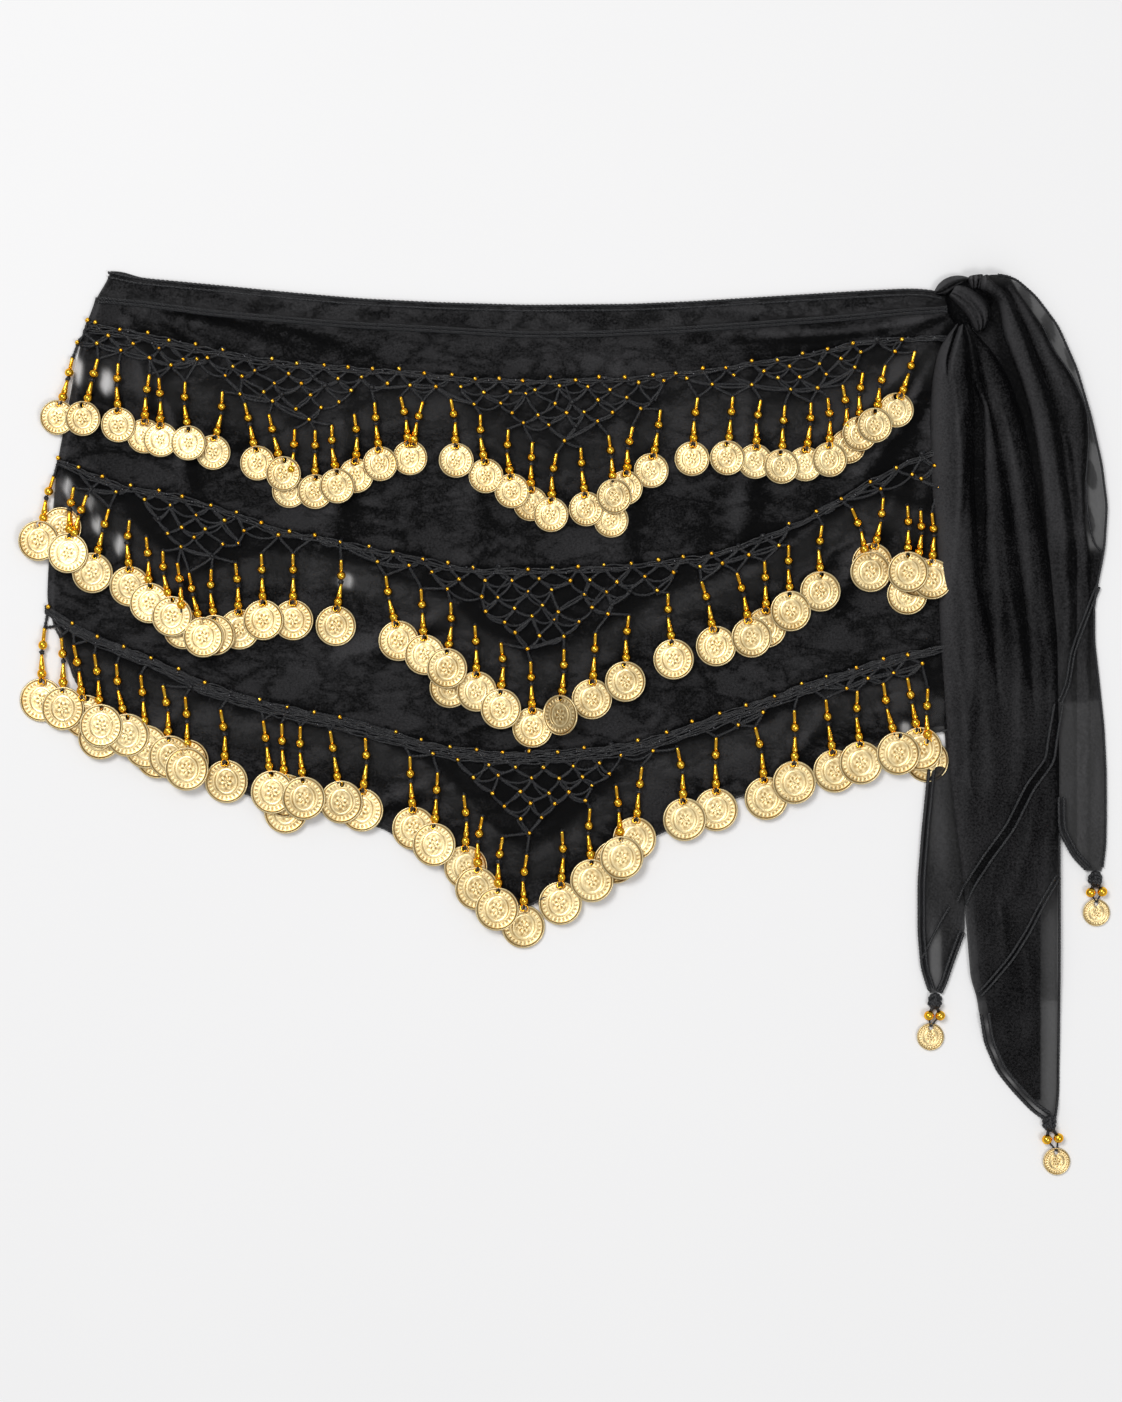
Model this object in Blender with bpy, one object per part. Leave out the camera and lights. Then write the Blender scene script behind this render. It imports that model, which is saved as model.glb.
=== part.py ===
"""Belly dance hip scarf, tied into a loop and laid flat.

Black chiffon, folded into a front and a back half that lie on each other, with three rows of
beaded net and coin fringe on the front, tied at the right in a knot whose ends fall as tails.
+X runs along the waist to the knot, +Y runs up to the waist edge, +Z is off the surface.
All the named sizes are in millimetres; MM turns them into metres.
"""
import math

import bmesh
import bpy

MM = 0.001

# --- thicknesses and gaps -------------------------------------------------------------------
CLOTH = 1.0            # wall that stands for one layer of chiffon
SEAM_GAP = 0.3         # air left between pieces that are sewn or lie together
TRIM_GAP = 0.45        # air under a piece that follows a pleated panel
STRAND_GAP = 0.9       # air under the strands of the upper fringes
NET = 0.8              # wall of the beaded nets
TAPE = 1.0             # header tapes and rolled hems
FRINGE = 2.4           # depth of strands, beads and coins

BACK_TOP = CLOTH
FRONT_BOTTOM = BACK_TOP + SEAM_GAP
FRONT_TOP = FRONT_BOTTOM + CLOTH
FOLD_LEG = 2.5         # flat part of the side fold on each layer
FOLD_RADIUS = FRONT_TOP / 2

PANEL_RIGHT = 209.0    # where both halves stop, under the front tail
PANEL_COLUMNS = 42
PANEL_ROWS = 11
TRIM_SPACING = 10.0

# --- lines across the scarf: each row is (across, up) -----------------------------------------
BACK_WAIST = [(-245, 244), (-225, 240), (-190, 236.5), (-150, 232.5), (-110, 229), (-70, 227),
              (-20, 225.5), (35, 226), (70, 227.5), (110, 230), (150, 232.5), (187, 234.5),
              (201, 233.5), (209, 231)]
FRONT_WAIST = [(-252, 230), (-225, 227.5), (-190, 222.5), (-150, 219), (-110, 216), (-70, 214),
               (-20, 211), (20, 211.5), (70, 214), (110, 217), (150, 220), (185, 223.5),
               (209, 225)]
HEADER_1 = [(-260, 217), (-237, 213), (-207, 206), (-170, 198), (-133, 193.5), (-84, 190),
            (-51, 186), (-20, 185), (5, 185.5), (40, 187), (78, 191), (111, 196), (140, 201),
            (165, 207.5), (190, 208), (209, 209)]
HEADER_2 = [(-274, 144), (-258, 136), (-235, 128), (-205, 123), (-180, 115), (-156, 105.5),
            (-121, 98.5), (-84, 91), (-51, 83.5), (-15, 83.5), (15, 84.5), (46, 87), (78, 91),
            (111, 102), (140, 115), (165, 131.5), (190, 144), (209, 150.5)]
HEADER_3 = [(-280, 65), (-267, 53), (-242, 43), (-218, 34), (-193, 22), (-168, 14), (-144, 8),
            (-121, 3), (-96, -3.5), (-65, -12), (-34, -15.5), (3, -14), (40, -10), (78, 3),
            (116, 16.5), (153, 29), (177, 36.5), (200, 41.5), (209, 43.5)]
LOWER_HEM = [(-275, 53), (-271, 45), (-264, 23.5), (-251, 2), (-226, -24), (-194, -30.5),
             (-170, -39), (-131, -48), (-97, -57), (-62, -78), (-20, -99.5), (19, -79),
             (49, -61), (94, -40), (135, -29.5), (171, -10.5), (195, -6), (209, -3.5)]

# --- the side fold: each row is (up, across) ----------------------------------------------------
SIDE_FOLD = [(60, -278.5), (72, -279), (87, -278), (110, -276), (148, -272),
             (167, -268), (191, -264), (212, -259), (230, -252)]

BACK_CORNER = [(-260, 26), (-268, 48)]    # the back half's lower left corner, hidden by the front

# --- scallops of each net: shallowest drop, then (across, extra drop, half width) ---------------
NET_1 = {"header": HEADER_1, "drop": 15,
         "scallops": [(-140, 22, 46), (-4, 26, 58), (122, 13, 38), (-235, 4, 50)]}
NET_2 = {"header": HEADER_2, "drop": 11,
         "scallops": [(-202, 31, 45), (-18, 41, 66), (204, 24, 36), (70, 5, 50)]}
NET_3 = {"header": HEADER_3, "drop": 11,
         "scallops": [(-20, 46, 56), (204, 10, 20)]}

# --- coin fringes: reach from the net to the bottom of the coins, and the two ends ---------------
# "shoulder" is where the outermost strand leaves the side fold and spreads to the left end
SURFACE_EDGE = [(0, -400)]
FRINGE_1 = {"net": NET_1, "above": HEADER_2, "reach": 41, "left": -282, "shoulder": -266,
            "right": 189}
FRINGE_2 = {"net": NET_2, "above": HEADER_3, "reach": 44, "left": -294.5, "shoulder": -277,
            "right": 203}
FRINGE_3 = {"net": NET_3, "above": SURFACE_EDGE, "reach": 50, "left": -292, "shoulder": -281,
            "right": 205}
SHOULDER_SLOPE = 1.7

# --- soft pleats of the front half: from (across, up), to (across, up), height, half width -------
FRONT_PLEATS = [
    (-232, 226, -150, 168, 1.3, 9),
    (-236, 222, -200, 110, 1.2, 9),
    (-225, 224, -90, 190, 1.0, 9),
    (-120, 206, -135, 60, 0.9, 13),
    (-62, 206, -50, 60, 0.8, 14),
    (30, 205, 22, 40, 0.9, 14),
    (96, 208, 88, 60, 1.0, 13),
    (196, 218, 128, 140, 1.2, 10),
    (192, 222, 60, 196, 1.0, 10),
    (176, 190, 165, 60, 1.0, 11),
]

# --- front tail: each row is up, left, right, lift at left, crown, lift at right ----------------
TAIL_A = [
    (210.0, 207.0, 221.0, 4.6, 2.4, 4.6),
    (201.0, 201.0, 231.0, 4.8, 2.8, 4.2),
    (187.0, 199.0, 238.0, 5.0, 3.0, 3.4),
    (164.0, 198.0, 246.0, 5.6, 3.0, 2.6),
    (131.0, 198.0, 254.0, 5.8, 3.0, 2.4),
    (88.0, 200.0, 262.0, 6.2, 2.8, 2.4),
    (45.0, 202.0, 266.0, 6.9, 2.4, 2.4),
    (13.0, 206.0, 265.5, 6.9, 2.2, 2.4),
    (-20.0, 207.0, 266.0, 4.4, 2.4, 2.4),
    (-52.0, 211.0, 267.0, 2.6, 2.8, 2.4),
    (-84.0, 215.0, 267.0, 2.6, 2.6, 1.4),
    (-111.0, 217.0, 267.0, 2.4, 2.4, 0.4),
    (-138.0, 218.5, 267.0, 1.2, 2.2, 0.0),
    (-155.0, 221.0, 267.0, 0.4, 1.8, 0.0),
    (-171.0, 225.0, 267.0, 0.0, 1.2, 0.0),
    (-187.0, 233.0, 267.0, 0.0, 0.6, 0.0),
    (-198.0, 242.0, 267.0, 0.0, 0.3, 0.0),
    (-209.0, 251.0, 267.0, 0.0, 0.0, 0.0),
]
# pleats of the front tail: share of the width at the top and at the tip, height, half width
TAIL_A_PLEATS = [
    (0.16, 0.10, 1.3, 3.0),
    (0.38, 0.30, 1.6, 3.2),
    (0.60, 0.52, 1.5, 3.2),
    (0.82, 0.78, 1.2, 3.0),
]
TAIL_A_COLUMNS = 20

# --- rear left tail: each row is up, left, right ---------------------------------------------
TAIL_B = [(-14, 209.5, 216.0), (-30, 208, 216.5), (-45, 196, 216.5), (-58, 193, 216.5),
          (-85, 191, 216.5), (-113, 191, 216), (-132, 193.5, 209), (-144, 197.5, 204)]
TAIL_B_PLEATS = [(0.5, 0.5, 0.5, 2.5)]

# --- right tail: inner (across, up), outer (across, up), lift, crown ----------------------------
TAIL_C = [
    (231.5, 212, 231.5, 239.5, 5.0, 3.2),
    (236, 203, 246, 233, 4.2, 3.0),
    (241, 192, 256, 223, 2.8, 2.4),
    (245, 178, 266, 207, 1.4, 1.8),
    (249, 160, 276, 187, 0.4, 1.2),
    (252, 140, 285, 160, 0.0, 0.8),
    (255, 120, 291.5, 136, 0.0, 0.6),
    (257, 98, 293, 115, 0.0, 0.6),
    (259, 78, 291, 92, 0.0, 0.5),
    (260, 60, 286, 64, 0.0, 0.5),
    (260, 42, 286, 44, 0.0, 0.4),
    (260, 22, 290, 22, 0.0, 0.4),
    (260, 0, 292, -2, 0.0, 0.4),
    (261, -25, 292, -26, 0.0, 0.3),
    (263, -43, 292, -50, 0.0, 0.3),
    (267, -58, 292, -66, 0.0, 0.2),
    (274, -71, 291.5, -75, 0.0, 0.1),
    (281, -78.5, 289.5, -79.5, 0.0, 0.0),
]
TAIL_C_PLEATS = [(0.55, 0.45, 0.9, 3.0), (0.86, 0.80, 0.8, 2.6)]
TAIL_C_COLUMNS = 12

# --- hidden layers under the front tail: each row is up, left, right ------------------------------
TAIL_CORE = [(176, 213, 238), (164, 212, 241), (131, 212, 248), (88, 212, 252), (45, 212, 255),
             (13, 212, 256), (-20, 220, 256), (-52, 220, 257), (-84, 220, 258),
             (-111, 221, 259), (-138, 223, 258), (-150, 226, 256)]

# --- folded hem bands over the front tail: each row is (across, up) ------------------------------
BAND_UPPER = [(264.5, 6), (261.5, -18), (251, -34), (240, -56), (229, -72), (220, -88)]
BAND_LOWER = [(264.5, -83), (257, -97), (250, -112), (241, -126), (230, -140), (224, -147)]
BAND_WIDTH = 4.5

# --- knot: a rounded heart with three bands of cloth over it --------------------------------------
KNOT_CENTRE = (217.0, 225.0)
KNOT_RADII = (12.5, 12.0)
KNOT_BOTTOM = FRONT_TOP + SEAM_GAP
KNOT_HEIGHT = 7.5
KNOT_LEAN = math.radians(-47)
KNOT_CLOTH = 1.5
# bands of the knot: name, from and to across the bands
KNOT_BANDS = [("knot_gather", -12.4, -5.2), ("knot_wrap", -4.8, 4.8), ("knot_pleat", 5.2, 12.4)]
LOOP_CENTRE = (204.5, 237.5)
LOOP_RADII = (3.9, 3.6)
LOOP_BOTTOM = BACK_TOP + SEAM_GAP
LOOP_HEIGHT = 6.0

# --- tail tips: knot centre and radii, then two beads and a coin ----------------------------------
TIPS = [
    {"tail": "tail_a", "knot": (262, -216.3), "radii": (4.9, 5.0),
     "beads": [(260.6, -225.0), (267.0, -223.6)], "coin": (266.2, -237.2)},
    {"tail": "tail_b", "knot": (200.2, -150.2), "radii": (4.0, 4.9),
     "beads": [(197.2, -158.4), (202.8, -158.4)], "coin": (197.6, -169.8)},
    {"tail": "tail_c", "knot": (286.6, -84.4), "radii": (4.0, 3.9),
     "beads": [(284.4, -91.6), (290.2, -91.2)], "coin": (287.3, -102.9)},
]
TIP_KNOT_HEIGHT = 5.0
BEAD_RADIUS = 2.1
COIN_RADIUS = 7.4
COIN_THICK = 1.2

# --- base colours (linear) -------------------------------------------------------------------------
CHIFFON = (0.020, 0.020, 0.023)
HIDDEN = (0.014, 0.014, 0.016)
CORD = (0.010, 0.010, 0.011)
GOLD = (0.80, 0.55, 0.20)
GOLD_BEAD = (0.78, 0.45, 0.10)


def clear_scene():
    for item in list(bpy.data.objects):
        bpy.data.objects.remove(item, do_unlink=True)


def at(line, place):
    """Value of a table of (place, value) rows, joined by straight lines."""
    rows = sorted(line)
    if place <= rows[0][0]:
        return rows[0][1]
    for (x0, y0), (x1, y1) in zip(rows, rows[1:]):
        if place <= x1:
            return y0 + (y1 - y0) * (place - x0) / (x1 - x0)
    return rows[-1][1]


def fade(value, start, end):
    """0 at start, 1 at end, with a soft ease between."""
    share = min(1.0, max(0.0, (value - start) / (end - start)))
    return share * share * (3 - 2 * share)


def mix(a, b, share):
    return a + (b - a) * share


def material_for(name, colour, metallic, roughness):
    material = bpy.data.materials.new(name + "_material")
    material.use_nodes = True
    shader = material.node_tree.nodes["Principled BSDF"]
    shader.inputs["Base Color"].default_value = (*colour, 1.0)
    shader.inputs["Metallic"].default_value = metallic
    shader.inputs["Roughness"].default_value = roughness
    material.diffuse_color = (*colour, 1.0)
    return material


def finish_object(name, mesh, colour, metallic=0.0, roughness=0.8, smooth=False):
    """Links a mesh as a named object with its own material."""
    for face in mesh.polygons:
        face.use_smooth = smooth
    mesh.materials.append(material_for(name, colour, metallic, roughness))
    item = bpy.data.objects.new(name, mesh)
    bpy.context.collection.objects.link(item)
    return item


def make_object(name, points, faces, colour, metallic=0.0, roughness=0.8, smooth=False):
    """Named closed solid from millimetre points; the faces are turned outward."""
    mesh = bpy.data.meshes.new(name)
    mesh.from_pydata([[value * MM for value in point] for point in points], [], faces)
    tidy = bmesh.new()
    tidy.from_mesh(mesh)
    bmesh.ops.recalc_face_normals(tidy, faces=tidy.faces)
    tidy.to_mesh(mesh)
    tidy.free()
    return finish_object(name, mesh, colour, metallic, roughness, smooth)


def wall(name, grid, thickness, colour, **look):
    """Wall of even thickness standing on a grid of points, given row by row."""
    rows = len(grid)
    columns = len(grid[0])
    lower = [point for row in grid for point in row]
    upper = [(x, y, z + thickness) for x, y, z in lower]
    lift = rows * columns
    faces = []
    for row in range(rows - 1):
        for column in range(columns - 1):
            a = row * columns + column
            b = a + 1
            c = b + columns
            d = a + columns
            faces.append((a, b, c, d))
            faces.append((a + lift, d + lift, c + lift, b + lift))
    rim = [column for column in range(columns)]
    rim += [row * columns + columns - 1 for row in range(1, rows)]
    rim += [(rows - 1) * columns + column for column in range(columns - 2, -1, -1)]
    rim += [row * columns for row in range(rows - 2, 0, -1)]
    for here, there in zip(rim, rim[1:] + rim[:1]):
        faces.append((here, there, there + lift, here + lift))
    return make_object(name, lower + upper, faces, colour, **look)


def rings(name, sections, colour, **look):
    """Solid through equal rings of points, closed at both ends."""
    count = len(sections[0])
    points = [point for section in sections for point in section]
    faces = [tuple(range(count)), tuple(range(len(points) - count, len(points)))]
    for level in range(len(sections) - 1):
        for index in range(count):
            here = level * count + index
            there = level * count + (index + 1) % count
            faces.append((here, there, there + count, here + count))
    return make_object(name, points, faces, colour, **look)


def place(item, across, up, lift=0.0):
    item.location = (across * MM, up * MM, lift * MM)


def circle(radius_x, radius_y, z, count):
    """Ring of points around the origin."""
    turns = [2 * math.pi * k / count for k in range(count)]
    return [(radius_x * math.cos(turn), radius_y * math.sin(turn), z) for turn in turns]


def dome(name, radii, height, colour, levels=6, count=20, **look):
    """Rounded pad with a flat underside and a small flat crown, standing at the origin."""
    sections = []
    for level in range(levels):
        angle = math.radians(80) * level / (levels - 1)
        width = math.cos(angle)
        sections.append(circle(radii[0] * width, radii[1] * width, height * math.sin(angle), count))
    return rings(name, sections, colour, **look)


def from_shape(name, shape, colour, **look):
    """Named object from a bmesh in millimetres."""
    bmesh.ops.scale(shape, vec=(MM, MM, MM), verts=shape.verts)
    mesh = bpy.data.meshes.new(name)
    shape.to_mesh(mesh)
    shape.free()
    return finish_object(name, mesh, colour, **look)


def bead(name, radius, colour, **look):
    """Round bead standing at the origin."""
    shape = bmesh.new()
    bmesh.ops.create_uvsphere(shape, u_segments=12, v_segments=8, radius=radius)
    bmesh.ops.translate(shape, vec=(0, 0, radius), verts=shape.verts)
    return from_shape(name, shape, colour, **look)


def coin(name, radius, thickness, colour, bevel=0.2, **look):
    """Round coin lying flat at the origin, with a small bevel all round."""
    shape = bmesh.new()
    bmesh.ops.create_cone(shape, cap_ends=True, segments=32, radius1=radius, radius2=radius,
                          depth=thickness)
    bmesh.ops.translate(shape, vec=(0, 0, thickness / 2), verts=shape.verts)
    disc = from_shape(name, shape, colour, **look)
    rim = disc.modifiers.new("rim", "BEVEL")
    rim.width = bevel * MM
    rim.segments = 1
    return disc


# --- the two halves of the scarf ---------------------------------------------------------------------
def pleat_rise(across, up):
    """Height of the front half's soft pleats; level at the side fold and at the knot."""
    rise = 0.0
    for x0, y0, x1, y1, height, half_width in FRONT_PLEATS:
        length = math.hypot(x1 - x0, y1 - y0)
        along = ((across - x0) * (x1 - x0) + (up - y0) * (y1 - y0)) / length
        beside = ((across - x0) * (y1 - y0) - (up - y0) * (x1 - x0)) / length
        share = along / length
        if 0.0 < share < 1.0:
            rise += height * math.sin(math.pi * share) * math.exp(-(beside / half_width) ** 2)
    level_at_fold = fade(across - at(SIDE_FOLD, up), 6.0, 26.0)
    level_at_knot = fade(across, 200.0, 180.0)
    return rise * level_at_fold * level_at_knot


def fold_side(up):
    """Where the panels stop, beside the legs of the side fold."""
    return at(SIDE_FOLD, up) + FOLD_RADIUS + FOLD_LEG + SEAM_GAP + 0.2


def front_point(u, v):
    """Point of the front half: u runs from the side fold to the knot, v from waist to hem."""
    top_left = fold_side(SIDE_FOLD[-1][0])
    low_left = fold_side(SIDE_FOLD[0][0])
    top_x = mix(top_left, PANEL_RIGHT, u)
    low_x = mix(low_left, PANEL_RIGHT, u)
    side_up = mix(at(FRONT_WAIST, top_left), at(LOWER_HEM, low_left), v)
    side_x = fold_side(side_up)
    bulge = side_x - mix(top_left, low_left, v)
    across = mix(top_x, low_x, v) + bulge * (1 - u) ** 2
    up = mix(at(FRONT_WAIST, top_x), at(LOWER_HEM, low_x), v)
    return across, up


def build_front_panel():
    grid = []
    for row in range(PANEL_ROWS + 1):
        points = []
        for column in range(PANEL_COLUMNS + 1):
            across, up = front_point(column / PANEL_COLUMNS, row / PANEL_ROWS)
            points.append((across, up, FRONT_BOTTOM + pleat_rise(across, up)))
        grid.append(points)
    wall("front_panel", grid, CLOTH, CHIFFON)


def build_back_panel():
    """The half that lies on the surface: flat all over, hemmed 3 mm inside the front half."""
    inset = 3.0
    top = [(x, y) for x, y in BACK_WAIST]
    low = [(x, at(LOWER_HEM, x) + inset) for x, _ in reversed(LOWER_HEM) if x > -255]
    side = BACK_CORNER + [(fold_side(up), up) for up, _ in SIDE_FOLD]
    outline = top + low + side
    lower = [(x, y, 0.0) for x, y in outline]
    upper = [(x, y, BACK_TOP) for x, y in outline]
    count = len(outline)
    faces = [tuple(range(count)), tuple(range(count, 2 * count))]
    for index in range(count):
        following = (index + 1) % count
        faces.append((index, following, following + count, index + count))
    make_object("back_panel", lower + upper, faces, CHIFFON)


def build_side_fold():
    """Cloth turning from one half to the other: a C section swept down the left side."""
    middle = FOLD_RADIUS
    inner = SEAM_GAP / 2
    turns = [math.radians(90 + 180 * step / 8) for step in range(9)]
    sections = []
    for up, across in SIDE_FOLD:
        centre = across + FOLD_RADIUS
        outer_arc = [(centre + FOLD_RADIUS * math.cos(turn), up,
                      middle + FOLD_RADIUS * math.sin(turn)) for turn in turns]
        inner_arc = [(centre + inner * math.cos(turn), up,
                      middle + inner * math.sin(turn)) for turn in reversed(turns)]
        legs_low = [(centre + FOLD_LEG, up, 0.0), (centre + FOLD_LEG, up, CLOTH)]
        legs_high = [(centre + FOLD_LEG, up, FRONT_BOTTOM), (centre + FOLD_LEG, up, FRONT_TOP)]
        sections.append(outer_arc + legs_low + inner_arc + legs_high)
    rings("side_fold", sections, CHIFFON)


# --- trim that lies on the front half -------------------------------------------------------------------
def stations(left, right, spacing):
    """Places across from left to right: the two ends, and every multiple of the spacing between."""
    first = math.floor(left / spacing) + 1
    last = math.ceil(right / spacing) - 1
    return [left] + [index * spacing for index in range(first, last + 1)] + [right]


def strip(name, upper_edge, lower_edge, ends, lift, thickness, colour, rows=1, **look):
    """Wall that follows the front half between two edges, each a function of the place across."""
    grid = []
    for row in range(rows + 1):
        points = []
        for across in stations(*ends, TRIM_SPACING):
            up = mix(upper_edge(across), lower_edge(across), row / rows)
            points.append((across, up, FRONT_TOP + pleat_rise(across, up) + lift))
        grid.append(points)
    wall(name, grid, thickness, colour, **look)


def net_edge(net, across):
    """Lower edge of a net, with its pointed scallops."""
    drop = net["drop"]
    for centre, extra, half_width in net["scallops"]:
        drop += extra * max(0.0, 1 - abs(across - centre) / half_width)
    return at(net["header"], across) - drop


def build_hems():
    strip("front_waist_hem", lambda x: at(FRONT_WAIST, x), lambda x: at(FRONT_WAIST, x) - 3.2,
          (-246, 202), TRIM_GAP, TAPE, CORD)
    strip("lower_hem", lambda x: at(LOWER_HEM, x) + 2.6, lambda x: at(LOWER_HEM, x) + 0.2,
          (-262, 192), TRIM_GAP, TAPE, CORD)
    points = []
    steps = 30
    for offset in (0.0, -2.8):
        row = []
        for step in range(steps + 1):
            across = mix(-243, 199, step / steps)
            row.append((across, at(BACK_WAIST, across) + offset, BACK_TOP + SEAM_GAP))
        points.append(row)
    wall("back_waist_hem", points, TAPE, CORD)


def build_headers():
    for name, line, width, left in (("header_1", HEADER_1, 2.6, -257),
                                    ("header_2", HEADER_2, 2.6, -270),
                                    ("header_3", HEADER_3, 7.0, -276)):
        strip(name, lambda x: at(line, x) + width - 1, lambda x: at(line, x) - 1, (left, 202),
              TRIM_GAP, TAPE, CORD)


def build_nets():
    for name, net, left in (("net_1", NET_1, -257), ("net_2", NET_2, -270),
                            ("net_3", NET_3, -276)):
        strip(name, lambda x: at(net["header"], x) - 1 - SEAM_GAP,
              lambda x: net_edge(net, x), (left, 202), TRIM_GAP, NET, CORD)


def build_fringes():
    """Plain walls over the reach of the strands; the lowest row clears the rolled hem."""
    for name, fringe, lift in (("fringe_1", FRINGE_1, STRAND_GAP),
                               ("fringe_2", FRINGE_2, STRAND_GAP),
                               ("fringe_3", FRINGE_3, 2 * TRIM_GAP + TAPE)):
        net = fringe["net"]
        strip(name, lambda x: (net_edge(net, x) - SEAM_GAP
                               - SHOULDER_SLOPE * max(0.0, fringe["shoulder"] - x)),
              lambda x: max(net_edge(net, x) - fringe["reach"], at(fringe["above"], x) + 7),
              (fringe["left"], fringe["right"]), lift, FRINGE, GOLD, rows=3,
              metallic=1.0, roughness=0.35)


# --- tails --------------------------------------------------------------------------------------------
def column_of(table, up, column):
    return at([(row[0], row[column]) for row in table], up)


def ridges(pleats, share, width, down):
    """Sum of soft ridges across a tail; down runs from 0 at the top to 1 at the tip."""
    rise = 0.0
    for top_share, tip_share, height, half_width in pleats:
        beside = (share - mix(top_share, tip_share, down)) * width
        room = min(1.0, width / (12 * half_width))
        rise += height * room * math.exp(-(beside / (half_width * max(room, 0.4))) ** 2)
    return rise


def tail_a_rise(across, up):
    """Underside of the front tail."""
    left = column_of(TAIL_A, up, 1)
    right = column_of(TAIL_A, up, 2)
    share = (across - left) / (right - left)
    down = (TAIL_A[0][0] - up) / (TAIL_A[0][0] - TAIL_A[-1][0])
    lift = mix(column_of(TAIL_A, up, 3), column_of(TAIL_A, up, 5), share)
    crown = column_of(TAIL_A, up, 4) * math.sin(math.pi * share)
    on_surface = fade(up, -209.0, -160.0)
    return lift + crown + on_surface * ridges(TAIL_A_PLEATS, share, right - left, down)


def build_tail_a():
    levels = [row[0] for row in TAIL_A]
    levels += [mix(a, b, 0.5) for a, b in zip(levels[3:7], levels[4:8])]
    grid = []
    for up in sorted(levels, reverse=True):
        left = column_of(TAIL_A, up, 1)
        right = column_of(TAIL_A, up, 2)
        row = []
        for column in range(TAIL_A_COLUMNS + 1):
            share = min(0.9999, max(0.0001, column / TAIL_A_COLUMNS))
            across = mix(left, right, share)
            row.append((across, up, max(0.0, tail_a_rise(across, up))))
        grid.append(row)
    wall("tail_a", grid, CLOTH, CHIFFON)


def build_tail_core():
    """Hidden layers under the front tail: one rounded solid that rests on the surface."""
    columns = 8
    sections = []
    for up, left, right in TAIL_CORE:
        top = []
        for column in range(columns + 1):
            share = column / columns
            across = mix(left, right, share)
            left_a = column_of(TAIL_A, up, 1)
            right_a = column_of(TAIL_A, up, 2)
            seat = (across - left_a) / (right_a - left_a)
            plain = mix(column_of(TAIL_A, up, 3), column_of(TAIL_A, up, 5), seat)
            plain += column_of(TAIL_A, up, 4) * math.sin(math.pi * seat)
            rounded = 0.45 + 0.55 * math.sin(math.pi * share) ** 0.5
            ends = 0.6 if up in (TAIL_CORE[0][0], TAIL_CORE[-1][0]) else 1.0
            top.append((across, up, max(0.5, (plain - 0.6) * rounded * ends)))
        base = [(right, up, 0.0), (left, up, 0.0)]
        sections.append(top + base)
    rings("tail_core", sections, HIDDEN)


def build_tail_b():
    grid = []
    first = TAIL_B[0][0]
    last = TAIL_B[-1][0]
    columns = 8
    for up, left, right in TAIL_B:
        down = (first - up) / (first - last)
        row = []
        for column in range(columns + 1):
            share = column / columns
            inside = math.sin(math.pi * share)
            rise = inside * ridges(TAIL_B_PLEATS, share, right - left, down)
            row.append((mix(left, right, share), up, rise))
        grid.append(row)
    wall("tail_b", grid, CLOTH, CHIFFON)


def build_tail_c():
    grid = []
    for index, (inner_x, inner_y, outer_x, outer_y, lift, crown) in enumerate(TAIL_C):
        down = index / (len(TAIL_C) - 1)
        width = math.hypot(outer_x - inner_x, outer_y - inner_y)
        settle = fade(down, 1.0, 0.7)
        row = []
        for column in range(TAIL_C_COLUMNS + 1):
            share = column / TAIL_C_COLUMNS
            rise = lift + settle * ridges(TAIL_C_PLEATS, share, width, down) * fade(share, 0.2, 0.4)
            rise += crown * math.sin(math.pi * share)
            row.append((mix(inner_x, outer_x, share), mix(inner_y, outer_y, share), rise))
        grid.append(row)
    wall("tail_c", grid, CLOTH, CHIFFON)


def build_bands():
    """Folded hem bands that cross the front tail, made from its own height and moved out."""
    for name, line in (("tail_a_band_upper", BAND_UPPER), ("tail_a_band_lower", BAND_LOWER)):
        grid = []
        for side in (0.5, 0.0, -0.5):
            row = []
            steps = 4 * (len(line) - 1)
            for step in range(steps + 1):
                place = step / 4
                index = min(int(place), len(line) - 2)
                (x0, y0), (x1, y1) = line[index], line[index + 1]
                length = math.hypot(x1 - x0, y1 - y0)
                across = mix(x0, x1, place - index) - side * BAND_WIDTH * (y1 - y0) / length
                up = mix(y0, y1, place - index) + side * BAND_WIDTH * (x1 - x0) / length
                row.append((across, up, tail_a_rise(across, up) + CLOTH + 0.7))
            grid.append(row)
        wall(name, grid, TAPE, CORD)


# --- knot ---------------------------------------------------------------------------------------------
def knot_rise(across, up, spread):
    """Height of the knot's rounded heart, spread outward for what lies on it."""
    x = (across - KNOT_CENTRE[0]) / (KNOT_RADII[0] + spread)
    y = (up - KNOT_CENTRE[1]) / (KNOT_RADII[1] + spread)
    return (KNOT_HEIGHT + spread) * max(0.0, 1 - x * x - y * y)


def build_knot():
    sections = []
    levels = 6
    count = 24
    for level in range(levels):
        width = math.cos(math.radians(84) * level / (levels - 1))
        ring = []
        for k in range(count):
            turn = 2 * math.pi * k / count
            across = KNOT_CENTRE[0] + KNOT_RADII[0] * width * math.cos(turn)
            up = KNOT_CENTRE[1] + KNOT_RADII[1] * width * math.sin(turn)
            ring.append((across, up, KNOT_BOTTOM + knot_rise(across, up, 0.0)))
        sections.append(ring)
    rings("knot_heart", sections, HIDDEN)
    for name, start, end in KNOT_BANDS:
        build_knot_band(name, start, end)
    loop = dome("knot_loop", LOOP_RADII, LOOP_HEIGHT, CHIFFON, smooth=True)
    place(loop, *LOOP_CENTRE, LOOP_BOTTOM)


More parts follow.
